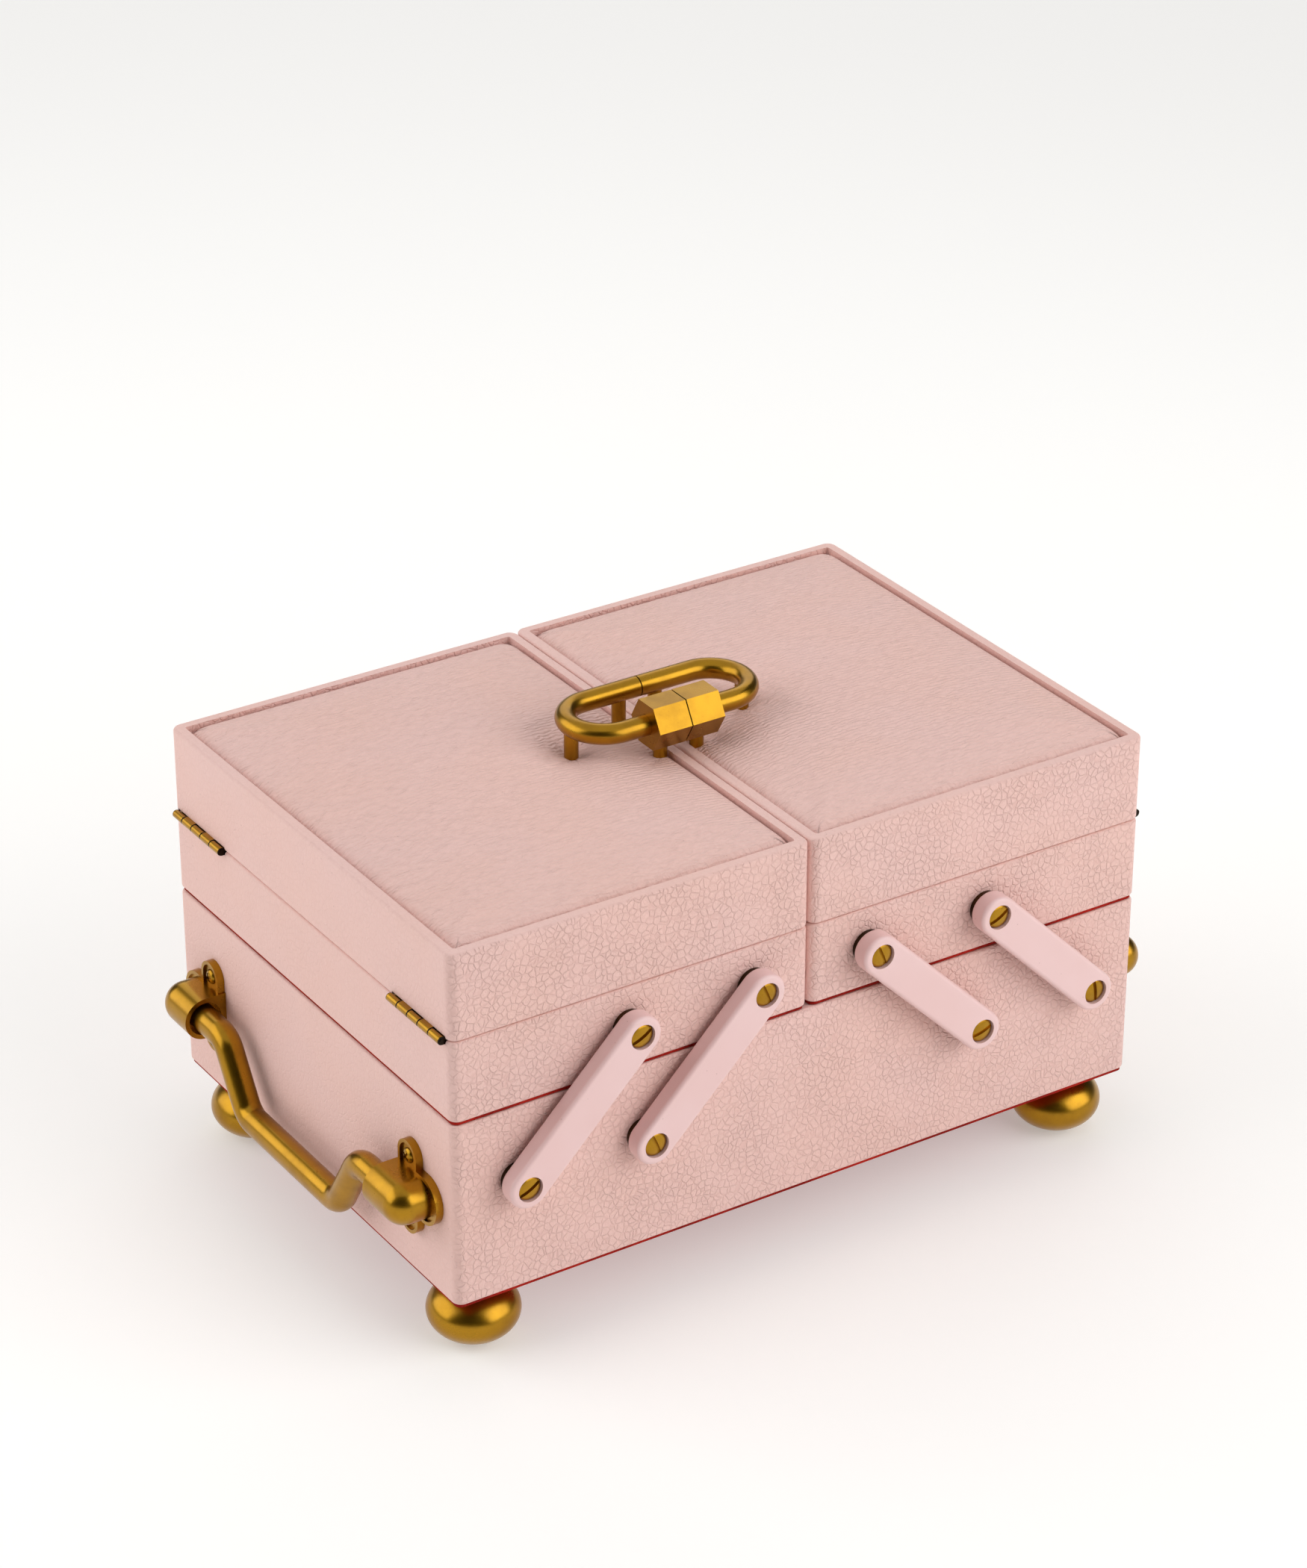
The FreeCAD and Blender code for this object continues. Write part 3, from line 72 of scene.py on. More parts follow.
FLOOR_RADIUS = 7        # metres
FLOOR_CORNERS = 64
SENSOR_WIDTH = 36
CAMERA_PLACE = (-0.8123, -1.2526, 0.9182)     # from the middle of the box's underside, in metres
CAMERA_AIM = (0.4797, 0.7408, -0.4703)
LIGHT_TARGET = Vector((0, 0, 0.08))           # about the middle of the box

PORE = "#8F5F55"
DUST = "#9C665B"
# painted shade in the gaps between hinge knuckles
HINGE_GAP_SHADE = "#1E1408"


# --- colours and nodes --------------------------------------------------------------------------

def linear(code):
    """An sRGB hex colour as linear red, green, blue and alpha."""
    parts = [int(code[start:start + 2], 16) / 255 for start in (1, 3, 5)]
    return tuple(
        part / 12.92 if part <= 0.04045 else ((part + 0.055) / 1.055) ** 2.4 for part in parts
    ) + (1.0,)


def with_alpha(colour):
    """A colour setting, which is linear already, with its alpha."""
    return tuple(colour) + (1.0,)


def add_node(tree, kind, inputs, **settings):
    """Add one shader node, set its properties, and set or link its inputs; return its output.

    The output is the first one that is switched on, or the one that the setting out names.
    """
    out = settings.pop("out", None)
    node = tree.nodes.new("ShaderNode" + kind)
    for name, value in settings.items():
        setattr(node, name, value)
    for name, value in inputs.items():
        if isinstance(value, bpy.types.NodeSocket):
            tree.links.new(value, node.inputs[name])
        else:
            node.inputs[name].default_value = value
    switched_on = [output for output in node.outputs if output.enabled]
    return node.outputs[out] if out else (switched_on or [None])[0]


def new_material(name):
    """An empty material and its node adder."""
    material = bpy.data.materials.new(name)
    material.use_nodes = True
    material.node_tree.nodes.clear()
    return material, partial(add_node, material.node_tree)


# --- materials ----------------------------------------------------------------------------------

def leather_material(name, finish, padded=False):
    """Drum-dyed calf leather with a printed grain, glued over board or pulled over a thin pad.

    The hide gives a soft matt sheen.  Glued flat on the front and back it keeps a net of fine
    creases, cells 2.7 mm across with smaller ones inside; over the ends it is stretched nearly
    smooth.  Over a pad it has only a fine cross-ripple, with puckers square to the edge and
    round the posts, where it is pulled down.
    """
    material, add = new_material(name)
    spot = add("TexCoord", {}, out="Object")
    shake = add("TexNoise", {"Vector": spot, "Scale": 1 / (4 * MM), "Detail": 2.0}, out="Color")
    shake = add("VectorMath", {0: shake, 1: (0.5, 0.5, 0.5)}, operation="SUBTRACT")
    # shaken by up to 0.8 mm, so that the cells have no straight sides
    shaken = add(
        "VectorMath", {0: shake, 1: (1.6 * MM,) * 3, 2: spot}, operation="MULTIPLY_ADD"
    )
    # fine grain 0.8 mm across, drawn at 1.2 mm so that it shows, and nearly twice that along x
    pulled = add("Mapping", {"Vector": spot, "Scale": (0.55, 1.0, 1.0)})
    grain = add("TexNoise", {
        "Vector": pulled, "Scale": 1 / (finish.pebble_size * MM), "Detail": 2.0,
        "Roughness": 0.55,
    })
    if padded:
        lines = pucker_lines(add)
        ripple = add("TexWave", {
            "Vector": shaken, "Scale": 0.16 / MM, "Distortion": 5.0, "Detail": 2.0,
            "Detail Scale": 1.6,
        }, bands_direction="Y", out="Fac")
        grain = add("Mix", {0: 0.35, 2: grain, 3: ripple}, data_type="FLOAT")
        depth = 0.15
        relief = 2.4
    else:
        coarse = add(
            "TexVoronoi", {"Vector": shaken, "Scale": 1 / (finish.crease_size * MM)},
            feature="DISTANCE_TO_EDGE",
        )
        fine = add(
            "TexVoronoi", {"Vector": shaken, "Scale": 2.3 / (finish.crease_size * MM)},
            feature="DISTANCE_TO_EDGE",
        )
        coarse = add("MapRange", {
            "Value": coarse, "From Min": 0.0, "From Max": 0.17, "To Min": 1.0, "To Max": 0.0,
        }, interpolation_type="SMOOTHSTEP")
        fine = add("MapRange", {
            "Value": fine, "From Min": 0.0, "From Max": 0.18, "To Min": 0.25, "To Max": 0.0,
        }, interpolation_type="SMOOTHSTEP")
        # the net fades in and out over patches 20 mm wide
        patch = add("TexNoise", {"Vector": spot, "Scale": 1 / (20 * MM), "Detail": 1.0})
        patch = add("MapRange", {
            "Value": patch, "From Min": 0.3, "From Max": 0.65, "To Min": 0.7, "To Max": 1.0,
        }, interpolation_type="SMOOTHSTEP")
        lines = add("Math", {0: coarse, 1: fine}, operation="MAXIMUM")
        lines = add("Math", {0: lines, 1: patch}, operation="MULTIPLY")
        normal = add("TexCoord", {}, out="Normal")
        across = add("SeparateXYZ", {"Vector": normal}, out="Y")
        across = add("Math", {0: across}, operation="ABSOLUTE")
        broad = add("MapRange", {
            "Value": across, "From Min": 0.35, "From Max": 0.85, "To Min": 0.3, "To Max": 1.0,
        }, interpolation_type="SMOOTHSTEP")
        lines = add("Math", {0: lines, 1: broad}, operation="MULTIPLY")
        depth = finish.crease_depth
        relief = 0.5
    height = add("Math", {0: grain, 1: relief}, operation="MULTIPLY")
    height = add("Math", {0: height, 1: lines}, operation="SUBTRACT")
    tilt = add("Bump", {"Strength": 1.0, "Distance": depth * MM * 2, "Height": height})

    drift = add("TexNoise", {"Vector": spot, "Scale": 1 / (45 * MM), "Detail": 2.0})
    drift = add("MapRange", {"Value": drift, "From Min": 0.35, "From Max": 0.65})
    shade = add("Mix", {
        0: drift, 6: with_alpha(finish.colour), 7: with_alpha(finish.warm_colour),
    }, data_type="RGBA")
    # painted shade: the creases, and on a pad the puckers, are tinted towards the crease shade
    # colour
    painted_crease_shade = add("Math", {0: lines, 1: 0.2}, operation="MULTIPLY", use_clamp=True)
    shade = add("Mix", {0: painted_crease_shade, 6: shade, 7: with_alpha(finish.crease_shade_colour)}, data_type="RGBA")
    # open pores: a few darker specks 0.6 mm across
    pores = add("TexVoronoi", {"Vector": spot, "Scale": 1 / (7 * MM)}, out="Distance")
    pores = add("MapRange", {
        "Value": pores, "From Min": 0.03, "From Max": 0.05, "To Min": 0.35, "To Max": 0.0,
    })
    shade = add("Mix", {0: pores, 6: shade, 7: linear(PORE)}, data_type="RGBA")
    gloss = add("MapRange", {
        "Value": grain, "From Min": 0.3, "From Max": 0.7, "To Min": 0.46, "To Max": 0.60,
    })
    surface = add("BsdfPrincipled", {
        "Base Color": shade, "Roughness": gloss, "IOR": 1.5,
        "Specular IOR Level": 0.2 if padded else 0.4, "Sheen Weight": 0.08,
        "Sheen Roughness": 0.45, "Normal": tilt,
    })
    add("OutputMaterial", {"Surface": surface})
    return material


def pucker_lines(add):
    """Puckers of a pulled hide, from the panel's own measurements, which are in millimetres.

    Along the edge they stand 1 mm apart, 6 mm long, and fade out 7 mm in.  Round a post they
    radiate and fade out 18 mm away.
    """
    edge = add("Attribute", {}, attribute_name="edge_distance", out="Fac")
    run = add("Attribute", {}, attribute_name="edge_run", out="Fac")
    spread = add("CombineXYZ", {"X": run, "Y": edge})
    spread = add("Mapping", {"Vector": spread, "Scale": (1.0, 0.16, 1.0)})
    pucker = add("TexNoise", {
        "Vector": spread, "Scale": 1.0, "Detail": 2.0, "Distortion": 0.7,
    })
    pucker = add("MapRange", {
        "Value": pucker, "From Min": 0.42, "From Max": 0.66, "To Max": 0.6,
    }, interpolation_type="SMOOTHSTEP")
    near = add("MapRange", {
        "Value": edge, "From Min": 0.0, "From Max": 7.0, "To Min": 1.0, "To Max": 0.0,
    }, interpolation_type="SMOOTHSTEP")
    at_edge = add("Math", {0: pucker, 1: near}, operation="MULTIPLY")

    post = add("Attribute", {}, attribute_name="post_distance", out="Fac")
    east = add("Attribute", {}, attribute_name="post_east", out="Fac")
    north = add("Attribute", {}, attribute_name="post_north", out="Fac")
    fan = add("CombineXYZ", {"X": east, "Y": north, "Z": post})
    fan = add("Mapping", {"Vector": fan, "Scale": (4.2, 4.2, 0.14)})
    ray = add("TexNoise", {"Vector": fan, "Scale": 1.0, "Detail": 2.0, "Distortion": 1.2})
    ray = add("MapRange", {
        "Value": ray, "From Min": 0.42, "From Max": 0.66, "To Max": 0.75,
    }, interpolation_type="SMOOTHSTEP")
    close = add("MapRange", {
        "Value": post, "From Min": 3.5, "From Max": 18.0, "To Min": 1.0, "To Max": 0.0,
    }, interpolation_type="SMOOTHSTEP")
    at_post = add("Math", {0: ray, 1: close}, operation="MULTIPLY")
    return add("Math", {0: at_edge, 1: at_post}, operation="MAXIMUM")


def brass_material(name, finish, colour, hinge_end=None):
    """Cast brass, tumbled to satin and left to age under a thin brown patina.

    Tumbling spreads each reflection softly; the patina keeps to faint clouds and a few specks.
    The hinges get painted shade in the knuckle gaps, counted from the y of the hinges' end.
    """
    material, add = new_material(name)
    spot = add("TexCoord", {}, out="Object")
    clouds = add("TexNoise", {
        "Vector": spot, "Scale": 1 / (11 * MM), "Detail": 4.0, "Roughness": 0.6,
    })
    specks = add("TexNoise", {
        "Vector": spot, "Scale": 1 / (0.8 * MM), "Detail": 3.0, "Roughness": 0.7,
    })
    cloudy = add("MapRange", {
        "Value": clouds, "From Min": 0.40, "From Max": 0.75, "To Min": 0.0, "To Max": 0.28,
    }, interpolation_type="SMOOTHSTEP")
    speckled = add("MapRange", {
        "Value": specks, "From Min": 0.58, "From Max": 0.72, "To Min": 0.0, "To Max": 0.2,
    }, interpolation_type="SMOOTHSTEP")
    aged = add("Math", {0: cloudy, 1: speckled}, operation="ADD", use_clamp=True)
    shade = add("Mix", {
        0: aged, 6: with_alpha(colour), 7: with_alpha(finish.patina),
    }, data_type="RGBA")
    if hinge_end:
        place = add("SeparateXYZ", {"Vector": spot}, out="Y")
        place = add("Math", {0: place}, operation="ABSOLUTE")
        # painted shade between the knuckles: the real opening is 0.3 mm wide, drawn 0.7 mm wide so
        # that it shows
        place = add("Math", {0: hinge_end, 1: place}, operation="SUBTRACT")
        place = add("Math", {0: place, 1: 1 / (finish.knuckle * MM)}, operation="MULTIPLY")
        place = add("Math", {0: place, 1: 0.5}, operation="PINGPONG")
        gap_shade = add("MapRange", {
            "Value": place, "From Min": 0.03, "From Max": 0.07, "To Min": 1.0, "To Max": 0.0,
        }, interpolation_type="SMOOTHSTEP")
        shade = add("Mix", {0: gap_shade, 6: shade, 7: linear(HINGE_GAP_SHADE)}, data_type="RGBA")
    gloss = add("MapRange", {
        "Value": clouds, "From Min": 0.3, "From Max": 0.75, "To Min": finish.polish,
        "To Max": finish.polish + 0.08,
    })
    # tumbling marks: shallow dimples 0.4 mm across
    marks = add("TexNoise", {"Vector": spot, "Scale": 1 / (0.4 * MM), "Detail": 2.0})
    tilt = add("Bump", {"Strength": 0.5, "Distance": 0.012 * MM, "Height": marks})
    surface = add("BsdfPrincipled", {
        "Base Color": shade, "Metallic": 1.0, "Roughness": gloss, "Coat Weight": 0.15,
        "Coat Roughness": 0.2, "Normal": tilt,
    })
    add("OutputMaterial", {"Surface": surface})
    return material


def lacquer_material(name, finish):
    """Sprayed and flatted lacquer over hardwood bars: even colour, satin, faint orange peel."""
    material, add = new_material(name)
    spot = add("TexCoord", {}, out="Object")
    drift = add("TexNoise", {"Vector": spot, "Scale": 1 / (25 * MM), "Detail": 2.0})
    drift = add("MapRange", {"Value": drift, "From Min": 0.35, "From Max": 0.65})
    shade = add("Mix", {
        0: drift, 6: with_alpha(finish.colour), 7: with_alpha(finish.shade),
    }, data_type="RGBA")
    # specks of dust 0.5 mm across, caught in the lacquer
    dust = add("TexVoronoi", {"Vector": spot, "Scale": 1 / (6 * MM)}, out="Distance")
    dust = add("MapRange", {
        "Value": dust, "From Min": 0.03, "From Max": 0.045, "To Min": 0.4, "To Max": 0.0,
    })
    shade = add("Mix", {0: dust, 6: shade, 7: linear(DUST)}, data_type="RGBA")
    peel = add("TexNoise", {"Vector": spot, "Scale": 1 / (0.9 * MM), "Detail": 1.0})
    tilt = add("Bump", {"Strength": 0.5, "Distance": 0.012 * MM, "Height": peel})
    surface = add("BsdfPrincipled", {
        "Base Color": shade, "Roughness": 0.38, "IOR": 1.5, "Coat Weight": 0.2,
        "Coat Roughness": 0.25, "Normal": tilt,
    })
    add("OutputMaterial", {"Surface": surface})
    return material


def suede_material(name, finish, pile):
    """Red suede cloth: a short pile, given in millimetres, that scatters light in patches."""
    material, add = new_material(name)
    spot = add("TexCoord", {}, out="Object")
    brushed = add("TexNoise", {"Vector": spot, "Scale": 1 / (18 * MM), "Detail": 3.0})
    hairs = add("TexNoise", {
        "Vector": spot, "Scale": 1 / (pile * MM), "Detail": 3.0, "Roughness": 0.7,
    })
    mixed = add("Mix", {0: 0.5, 2: brushed, 3: hairs}, data_type="FLOAT")
    mixed = add("MapRange", {
        "Value": mixed, "From Min": 0.38, "From Max": 0.62,
    }, interpolation_type="SMOOTHSTEP")
    shade = add("Mix", {
        0: mixed, 6: with_alpha(finish.deep), 7: with_alpha(finish.colour),
    }, data_type="RGBA")
    tilt = add("Bump", {"Strength": 0.8, "Distance": 0.15 * MM, "Height": hairs})
    surface = add("BsdfPrincipled", {
        "Base Color": shade, "Roughness": 0.92, "IOR": 1.45, "Specular IOR Level": 0.15,
        "Sheen Weight": 0.3, "Sheen Roughness": 0.4, "Sheen Tint": linear("#D8604C"),
        "Normal": tilt,
    })
    add("OutputMaterial", {"Surface": surface})
    return material


def plywood_material(name):
    """Sanded birch plywood: pale rotary-cut faces with a long soft figure, and glue lines."""
    material, add = new_material(name)
    spot = add("TexCoord", {}, out="Object")
    drawn = add("Mapping", {"Vector": spot, "Scale": (0.12, 1.0, 1.0)})
    figure = add("TexNoise", {
        "Vector": drawn, "Scale": 1 / (2.5 * MM), "Detail": 4.0, "Roughness": 0.6,
    })
    mixed = add("MapRange", {"Value": figure, "From Min": 0.35, "From Max": 0.7})
    shade = add("Mix", {0: mixed, 6: linear("#DCC39A"), 7: linear("#C29F6E")}, data_type="RGBA")
    level = add("SeparateXYZ", {"Vector": spot}, out="Z")
    # a glue line between veneers 1.4 mm thick
    level = add("Math", {0: level, 1: 1 / (1.4 * MM)}, operation="MULTIPLY")
    level = add("Math", {0: level}, operation="FRACT")
    line = add("MapRange", {
        "Value": level, "From Min": 0.0, "From Max": 0.12, "To Min": 0.5, "To Max": 0.0,
    })
    shade = add("Mix", {0: line, 6: shade, 7: linear("#8E6A42")}, data_type="RGBA")
    tilt = add("Bump", {"Strength": 0.4, "Distance": 0.05 * MM, "Height": figure})
    surface = add("BsdfPrincipled", {
        "Base Color": shade, "Roughness": 0.7, "IOR": 1.5, "Normal": tilt,
    })
    add("OutputMaterial", {"Surface": surface})
    return material


def backdrop_material(name, setup):
    """Matt translucent sheet lit from below too: it pales with distance into the backdrop."""
    material, add = new_material(name)
    spot = add("TexCoord", {}, out="Object")
    away = add("VectorMath", {0: spot}, operation="LENGTH", out="Value")
    away = add("MapRange", {
        "Value": away, "From Min": 0.55, "From Max": 2.4,
    }, interpolation_type="SMOOTHSTEP")
    body = add("Mix", {
        0: away, 6: with_alpha(setup.floor_colour), 7: (0.0, 0.0, 0.0, 1.0),
    }, data_type="RGBA")
    sooner = add("Math", {0: away, 1: 1.3}, operation="POWER")
    glow = add("Mix", {0: sooner, 2: setup.floor_glow, 3: 1.0}, data_type="FLOAT")
    surface = add("BsdfPrincipled", {
        "Base Color": body, "Roughness": 0.95, "Specular IOR Level": 0.0,
        "Emission Color": with_alpha(setup.backdrop), "Emission Strength": glow,
    })
    add("OutputMaterial", {"Surface": surface})
    return material


def finish_nodes(material, *endings):
    """Put a material in every slot of the CAD nodes whose names end with one of the endings."""
    found = [thing for name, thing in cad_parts.items() if name.endswith(endings)]
    if not found:
        raise RuntimeError(f"no part ends with {endings}")
    for thing in found:
        if not thing.material_slots:
            thing.data.materials.append(material)
        for slot in thing.material_slots:
            slot.material = material


# --- meshes -------------------------------------------------------------------------------------

def mesh_object(name, points, faces, material):
    """A smooth-shaded mesh at the origin, from arrays of points and of corner numbers."""
    mesh = bpy.data.meshes.new(name)
    mesh.from_pydata(points.tolist(), [], faces)
    mesh.materials.append(material)
    mesh.shade_smooth()
    mesh.update()
    thing = bpy.data.objects.new(name, mesh)
    bpy.context.scene.collection.objects.link(thing)
    return thing


def grid_faces(rows, columns):
    """Quads of a grid of points numbered row by row; they face up where y grows by rows."""
    corner = (np.arange(rows - 1)[:, None] * columns + np.arange(columns - 1)).ravel()
    return np.stack([corner, corner + 1, corner + columns + 1, corner + columns], 1)


def crowded(steps):
    """Numbers from -1 to 1 that crowd towards both ends: halfway from even steps to their sine."""
    return (steps + np.sin(steps * math.pi / 2)) / 2


def post_places(side, reach):
    """X and Y of the clasp's three posts in one lid, from the boxes of its nut and link.

    The two by the joint stand under the nut's axis and under the link's back rod; the third
    stands under the middle of the link's bend.  The reach is from the joint to the first two.
    """
    nut_low, nut_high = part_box(side + "_clasp_nut")
    link_low, link_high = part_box(side + "_clasp_link")
    sign = -1 if side == "left" else 1
    front = (nut_low.y + nut_high.y) / 2
    rod = front - link_low.y
    back = link_high.y - rod
    bend = (link_low.x if side == "left" else link_high.x) - sign * rod
    return [(sign * reach, front), (sign * reach, back), (bend, (front + back) / 2)]


def pad_grid(side, sizes, columns, rows):
    """The top of a padded panel before its dimples, as a dictionary of grids.

    x and y run from edge to edge, crowded towards the edges.  The height is the edge's height,
    plus a roll, plus a crown that is the product of two parabolas.  The roll is one less the
    square of the fall, to the power 0.65, where the fall goes from one at the edge to zero at
    the roll's width from it.
    """
    low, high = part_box(side + "_lid_padded_panel")
    middle = (low + high) / 2
    half_x = (high.x - low.x) / 2
    half_y = (high.y - low.y) / 2
    u, v = np.meshgrid(crowded(np.linspace(-1, 1, columns)), crowded(np.linspace(-1, 1, rows)))
    edge_x = half_x * (1 - np.abs(u)) / MM
    edge_y = half_y * (1 - np.abs(v)) / MM
    # near a corner both falls count, so the roll turns the corner softly
    fall_x = (1 - edge_x / sizes.roll_width).clip(0)
    fall_y = (1 - edge_y / sizes.roll_width).clip(0)
    fall = ((fall_x ** 4 + fall_y ** 4) ** 0.25).clip(0, 1)
    roll = (1 - fall ** 2) ** 0.65
    crown = (1 - u ** 2) * (1 - v ** 2)
    x = middle.x + half_x * u
    y = middle.y + half_y * v
    return {
        "x": x, "y": y, "edge": np.minimum(edge_x, edge_y),
        "z": high.z + MM * (sizes.roll * roll + sizes.crown * crown - sizes.edge_drop),
        "run": np.where(edge_x < edge_y, y, x) / MM,
        "bottom": low.z + (high.z - low.z) * BOARD_LIFT,
    }


def closed_pad(top, bottom):
    """Points and faces of a grid closed by an upright skirt and a flat grid below it."""
    rows, columns = top.shape[:2]
    count = rows * columns
    number = np.arange(count).reshape(rows, columns)
    ring = np.concatenate([
        number[0, :-1], number[:-1, -1], number[-1, :0:-1], number[:0:-1, 0]
    ])
    top = top.reshape(-1, 3)
    base = top.copy()
    base[:, 2] = bottom
    halfway = (top[ring] + base[ring]) / 2
    upper = grid_faces(rows, columns)
    belt = 2 * count + np.arange(len(ring))
    sides = [
        np.stack([one, two, np.roll(two, -1), np.roll(one, -1)], 1)
        for one, two in ((ring, belt), (belt, ring + count))
    ]
    faces = np.concatenate([upper, upper[:, ::-1] + count] + sides)
    return np.concatenate([top, base, halfway]), faces.tolist()


def padded_panel(side, sizes, posts, material):
    """Leather over a thin foam pad on a board.

    A coarse pad is swelled by cloth pressure, held at its edge.  The finished surface is the
    same pad on a finer grid, plus that swelling spread between the coarse points, less a
    bell-shaped dimple at each of the clasp's posts, plus puckers that run out from the posts: a
    cosine of a whole multiple of the bearing, spread unevenly by a slower sine of it, and faded
    by a bell of the distance.
    """
    swelled = 0
    fine = pad_grid(side, sizes, *FINE_GRID)
    coarse = pad_grid(side, sizes, *COARSE_GRID)
    shape = coarse["edge"].shape
    points, faces = closed_pad(
        np.stack([coarse["x"], coarse["y"], coarse["z"]], -1), coarse["bottom"]
    )
    # held fast to 1 mm from the edge, and free from 6 mm on
    held = np.ones(len(points))
    held[:coarse["edge"].size] = (1.2 - coarse["edge"].ravel() / 5).clip(0, 1)
    pad = mesh_object("swelling_pad", points, faces, material)
    move = swell(pad, held, sizes.swell * MM)[:coarse["edge"].size].reshape(*shape, 3)
    bpy.data.objects.remove(pad)
    most = round(float(np.linalg.norm(move, axis=2).max()) / MM, 2)
    print(side, "padded panel swelled by up to", most, "mm")
    # each fine point takes its share of the coarse points on either side of it
    along, across = (
        (1 - np.abs(np.linspace(0, count - 1, finer)[:, None] - np.arange(count))).clip(0)
        for count, finer in zip(shape, fine["edge"].shape)
    )
    swelled = np.einsum("ri,cj,ijk->rck", along, across, move)
    x, y, edge = fine["x"], fine["y"], fine["edge"]
    apart = np.stack([np.hypot(x - place[0], y - place[1]) for place in posts]) / MM
    nearest = apart.min(0)
    chosen = np.array(posts)[apart.argmin(0)]
    # the direction from the nearest post: the cosine and sine of its bearing
    east = (x - chosen[..., 0]) / MM / nearest.clip(0.1)
    north = (y - chosen[..., 1]) / MM / nearest.clip(0.1)
    bearing = np.arctan2(north, east)
    inside = (edge / sizes.roll_width).clip(0, 1)
    dimple = np.exp(-(apart / sizes.dimple_width) ** 1.6).sum(0).clip(0, 1)
    fold = np.cos(FOLDS * bearing + 1.5 * np.sin(3 * bearing))
    # nothing at the post itself, full from 6 mm on
    fold *= (nearest / 6).clip(0, 1) * np.exp(-(nearest / sizes.pucker_reach) ** 2)
    top = np.stack([x, y, fine["z"]], -1) + swelled
    top[..., 2] += inside * MM * (sizes.pucker * fold - sizes.dimple * dimple)
    points, faces = closed_pad(top, fine["bottom"])
    panel = mesh_object(side + "_padded_panel", points, faces, material)
    for name, values, elsewhere in (
        ("edge_distance", edge, 0), ("edge_run", fine["run"], 0),
        ("post_distance", nearest, NO_POST), ("post_east", east, 0), ("post_north", north, 0),
    ):
        spread = np.full(len(points), elsewhere, np.float32)
        spread[:values.size] = values.ravel()
        panel.data.attributes.new(name, "FLOAT", "POINT").data.foreach_set("value", spread)
    return panel


def swell(panel, held, most):
    """Each point's move when cloth pressure swells a closed mesh, at most the given length.

    Held pins the points, from 0 for free to 1 for fixed.  The move is the most times the
    hyperbolic tangent of its free length over the most, so that the cap leaves no ridge.
    """
    pins = panel.vertex_groups.new(name="held")
    levels = np.round(held * PIN_LEVELS).astype(int)
    for level in np.unique(levels):
        pins.add(np.flatnonzero(levels == level).tolist(), float(level) / PIN_LEVELS, "REPLACE")
    before = np.empty(len(held) * 3, np.float32)
    panel.data.vertices.foreach_get("co", before)
    cloth = panel.modifiers.new("hide", "CLOTH")
    options = cloth.settings
    options.quality = 5
    options.mass = 0.3
    options.tension_stiffness = options.compression_stiffness = 20
    options.shear_stiffness = 8
    options.bending_stiffness = 1.0
    options.use_pressure = True
    options.uniform_pressure_force = 4.0
    options.effector_weights.gravity = 0
    options.vertex_group_mass = "held"
    cloth.collision_settings.use_collision = False
    scene = bpy.context.scene
    for step in range(1, SWELL_STEPS + 1):
        scene.frame_set(step)
    posed = panel.evaluated_get(bpy.context.evaluated_depsgraph_get())
    after = np.empty_like(before)
    posed.data.vertices.foreach_get("co", after)
    move = (after - before).reshape(-1, 3)
    length = np.linalg.norm(move, axis=1, keepdims=True)
    move *= most * np.tanh(length / most) / length.clip(1e-9)
    panel.modifiers.remove(cloth)
    scene.frame_set(1)
    return move


# --- lights ------------------------------------------------------------------------------------

def soft_box(name, azimuth, elevation, distance, extent, brightness):
    """An area light that faces the box: brightness times pi times its area is its power."""
    light = bpy.data.lights.new(name, "AREA")
    light.shape = "RECTANGLE"
    light.size, light.size_y = extent
    light.energy = brightness * math.pi * extent[0] * extent[1]
    lamp = bpy.data.objects.new(name, light)
    bpy.context.scene.collection.objects.link(lamp)
    across, up = math.radians(azimuth), math.radians(elevation)
    way = Vector((
        math.cos(across) * math.cos(up), math.sin(across) * math.cos(up), math.sin(up)
    ))
    lamp.location = way * distance + LIGHT_TARGET
    lamp.rotation_mode = "QUATERNION"
    lamp.rotation_quaternion = (-way).to_track_quat("-Z", "Y")


# --- settings -----------------------------------------------------------------------------------

def colour_setting(name, description, code):
    """A colour property whose default is an sRGB hex code."""
    return FloatVectorProperty(
        name=name, description=description, subtype="COLOR", size=3, min=0, max=1,
        default=linear(code)[:3],
    )


class LeatherFinish(bpy.types.PropertyGroup):
    """Colours, grain and painted crease shade of the hide."""

    colour: colour_setting("Colour", "Main dye colour of the hide", "#EBC4BC")
    warm_colour: colour_setting("Warm colour", "Warmer patches of the dye", "#ECC3B9")
    # painted shade: this colour tints the creases and puckers where shade falls in them
    crease_shade_colour: colour_setting("Crease colour", "Dye gathered in the creases", "#C08A80")
    crease_size: FloatProperty(
        name="Crease size", description="Distance between creases, in millimetres", default=2.7,
        min=0.5, max=20,
    )
    crease_depth: FloatProperty(
        name="Crease depth", description="Depth of the creases, in millimetres", default=0.15,
        min=0, max=2,
    )
    pebble_size: FloatProperty(
        name="Pebble size", description="Size of the fine grain, in millimetres", default=1.2,
        min=0.2, max=5,
    )


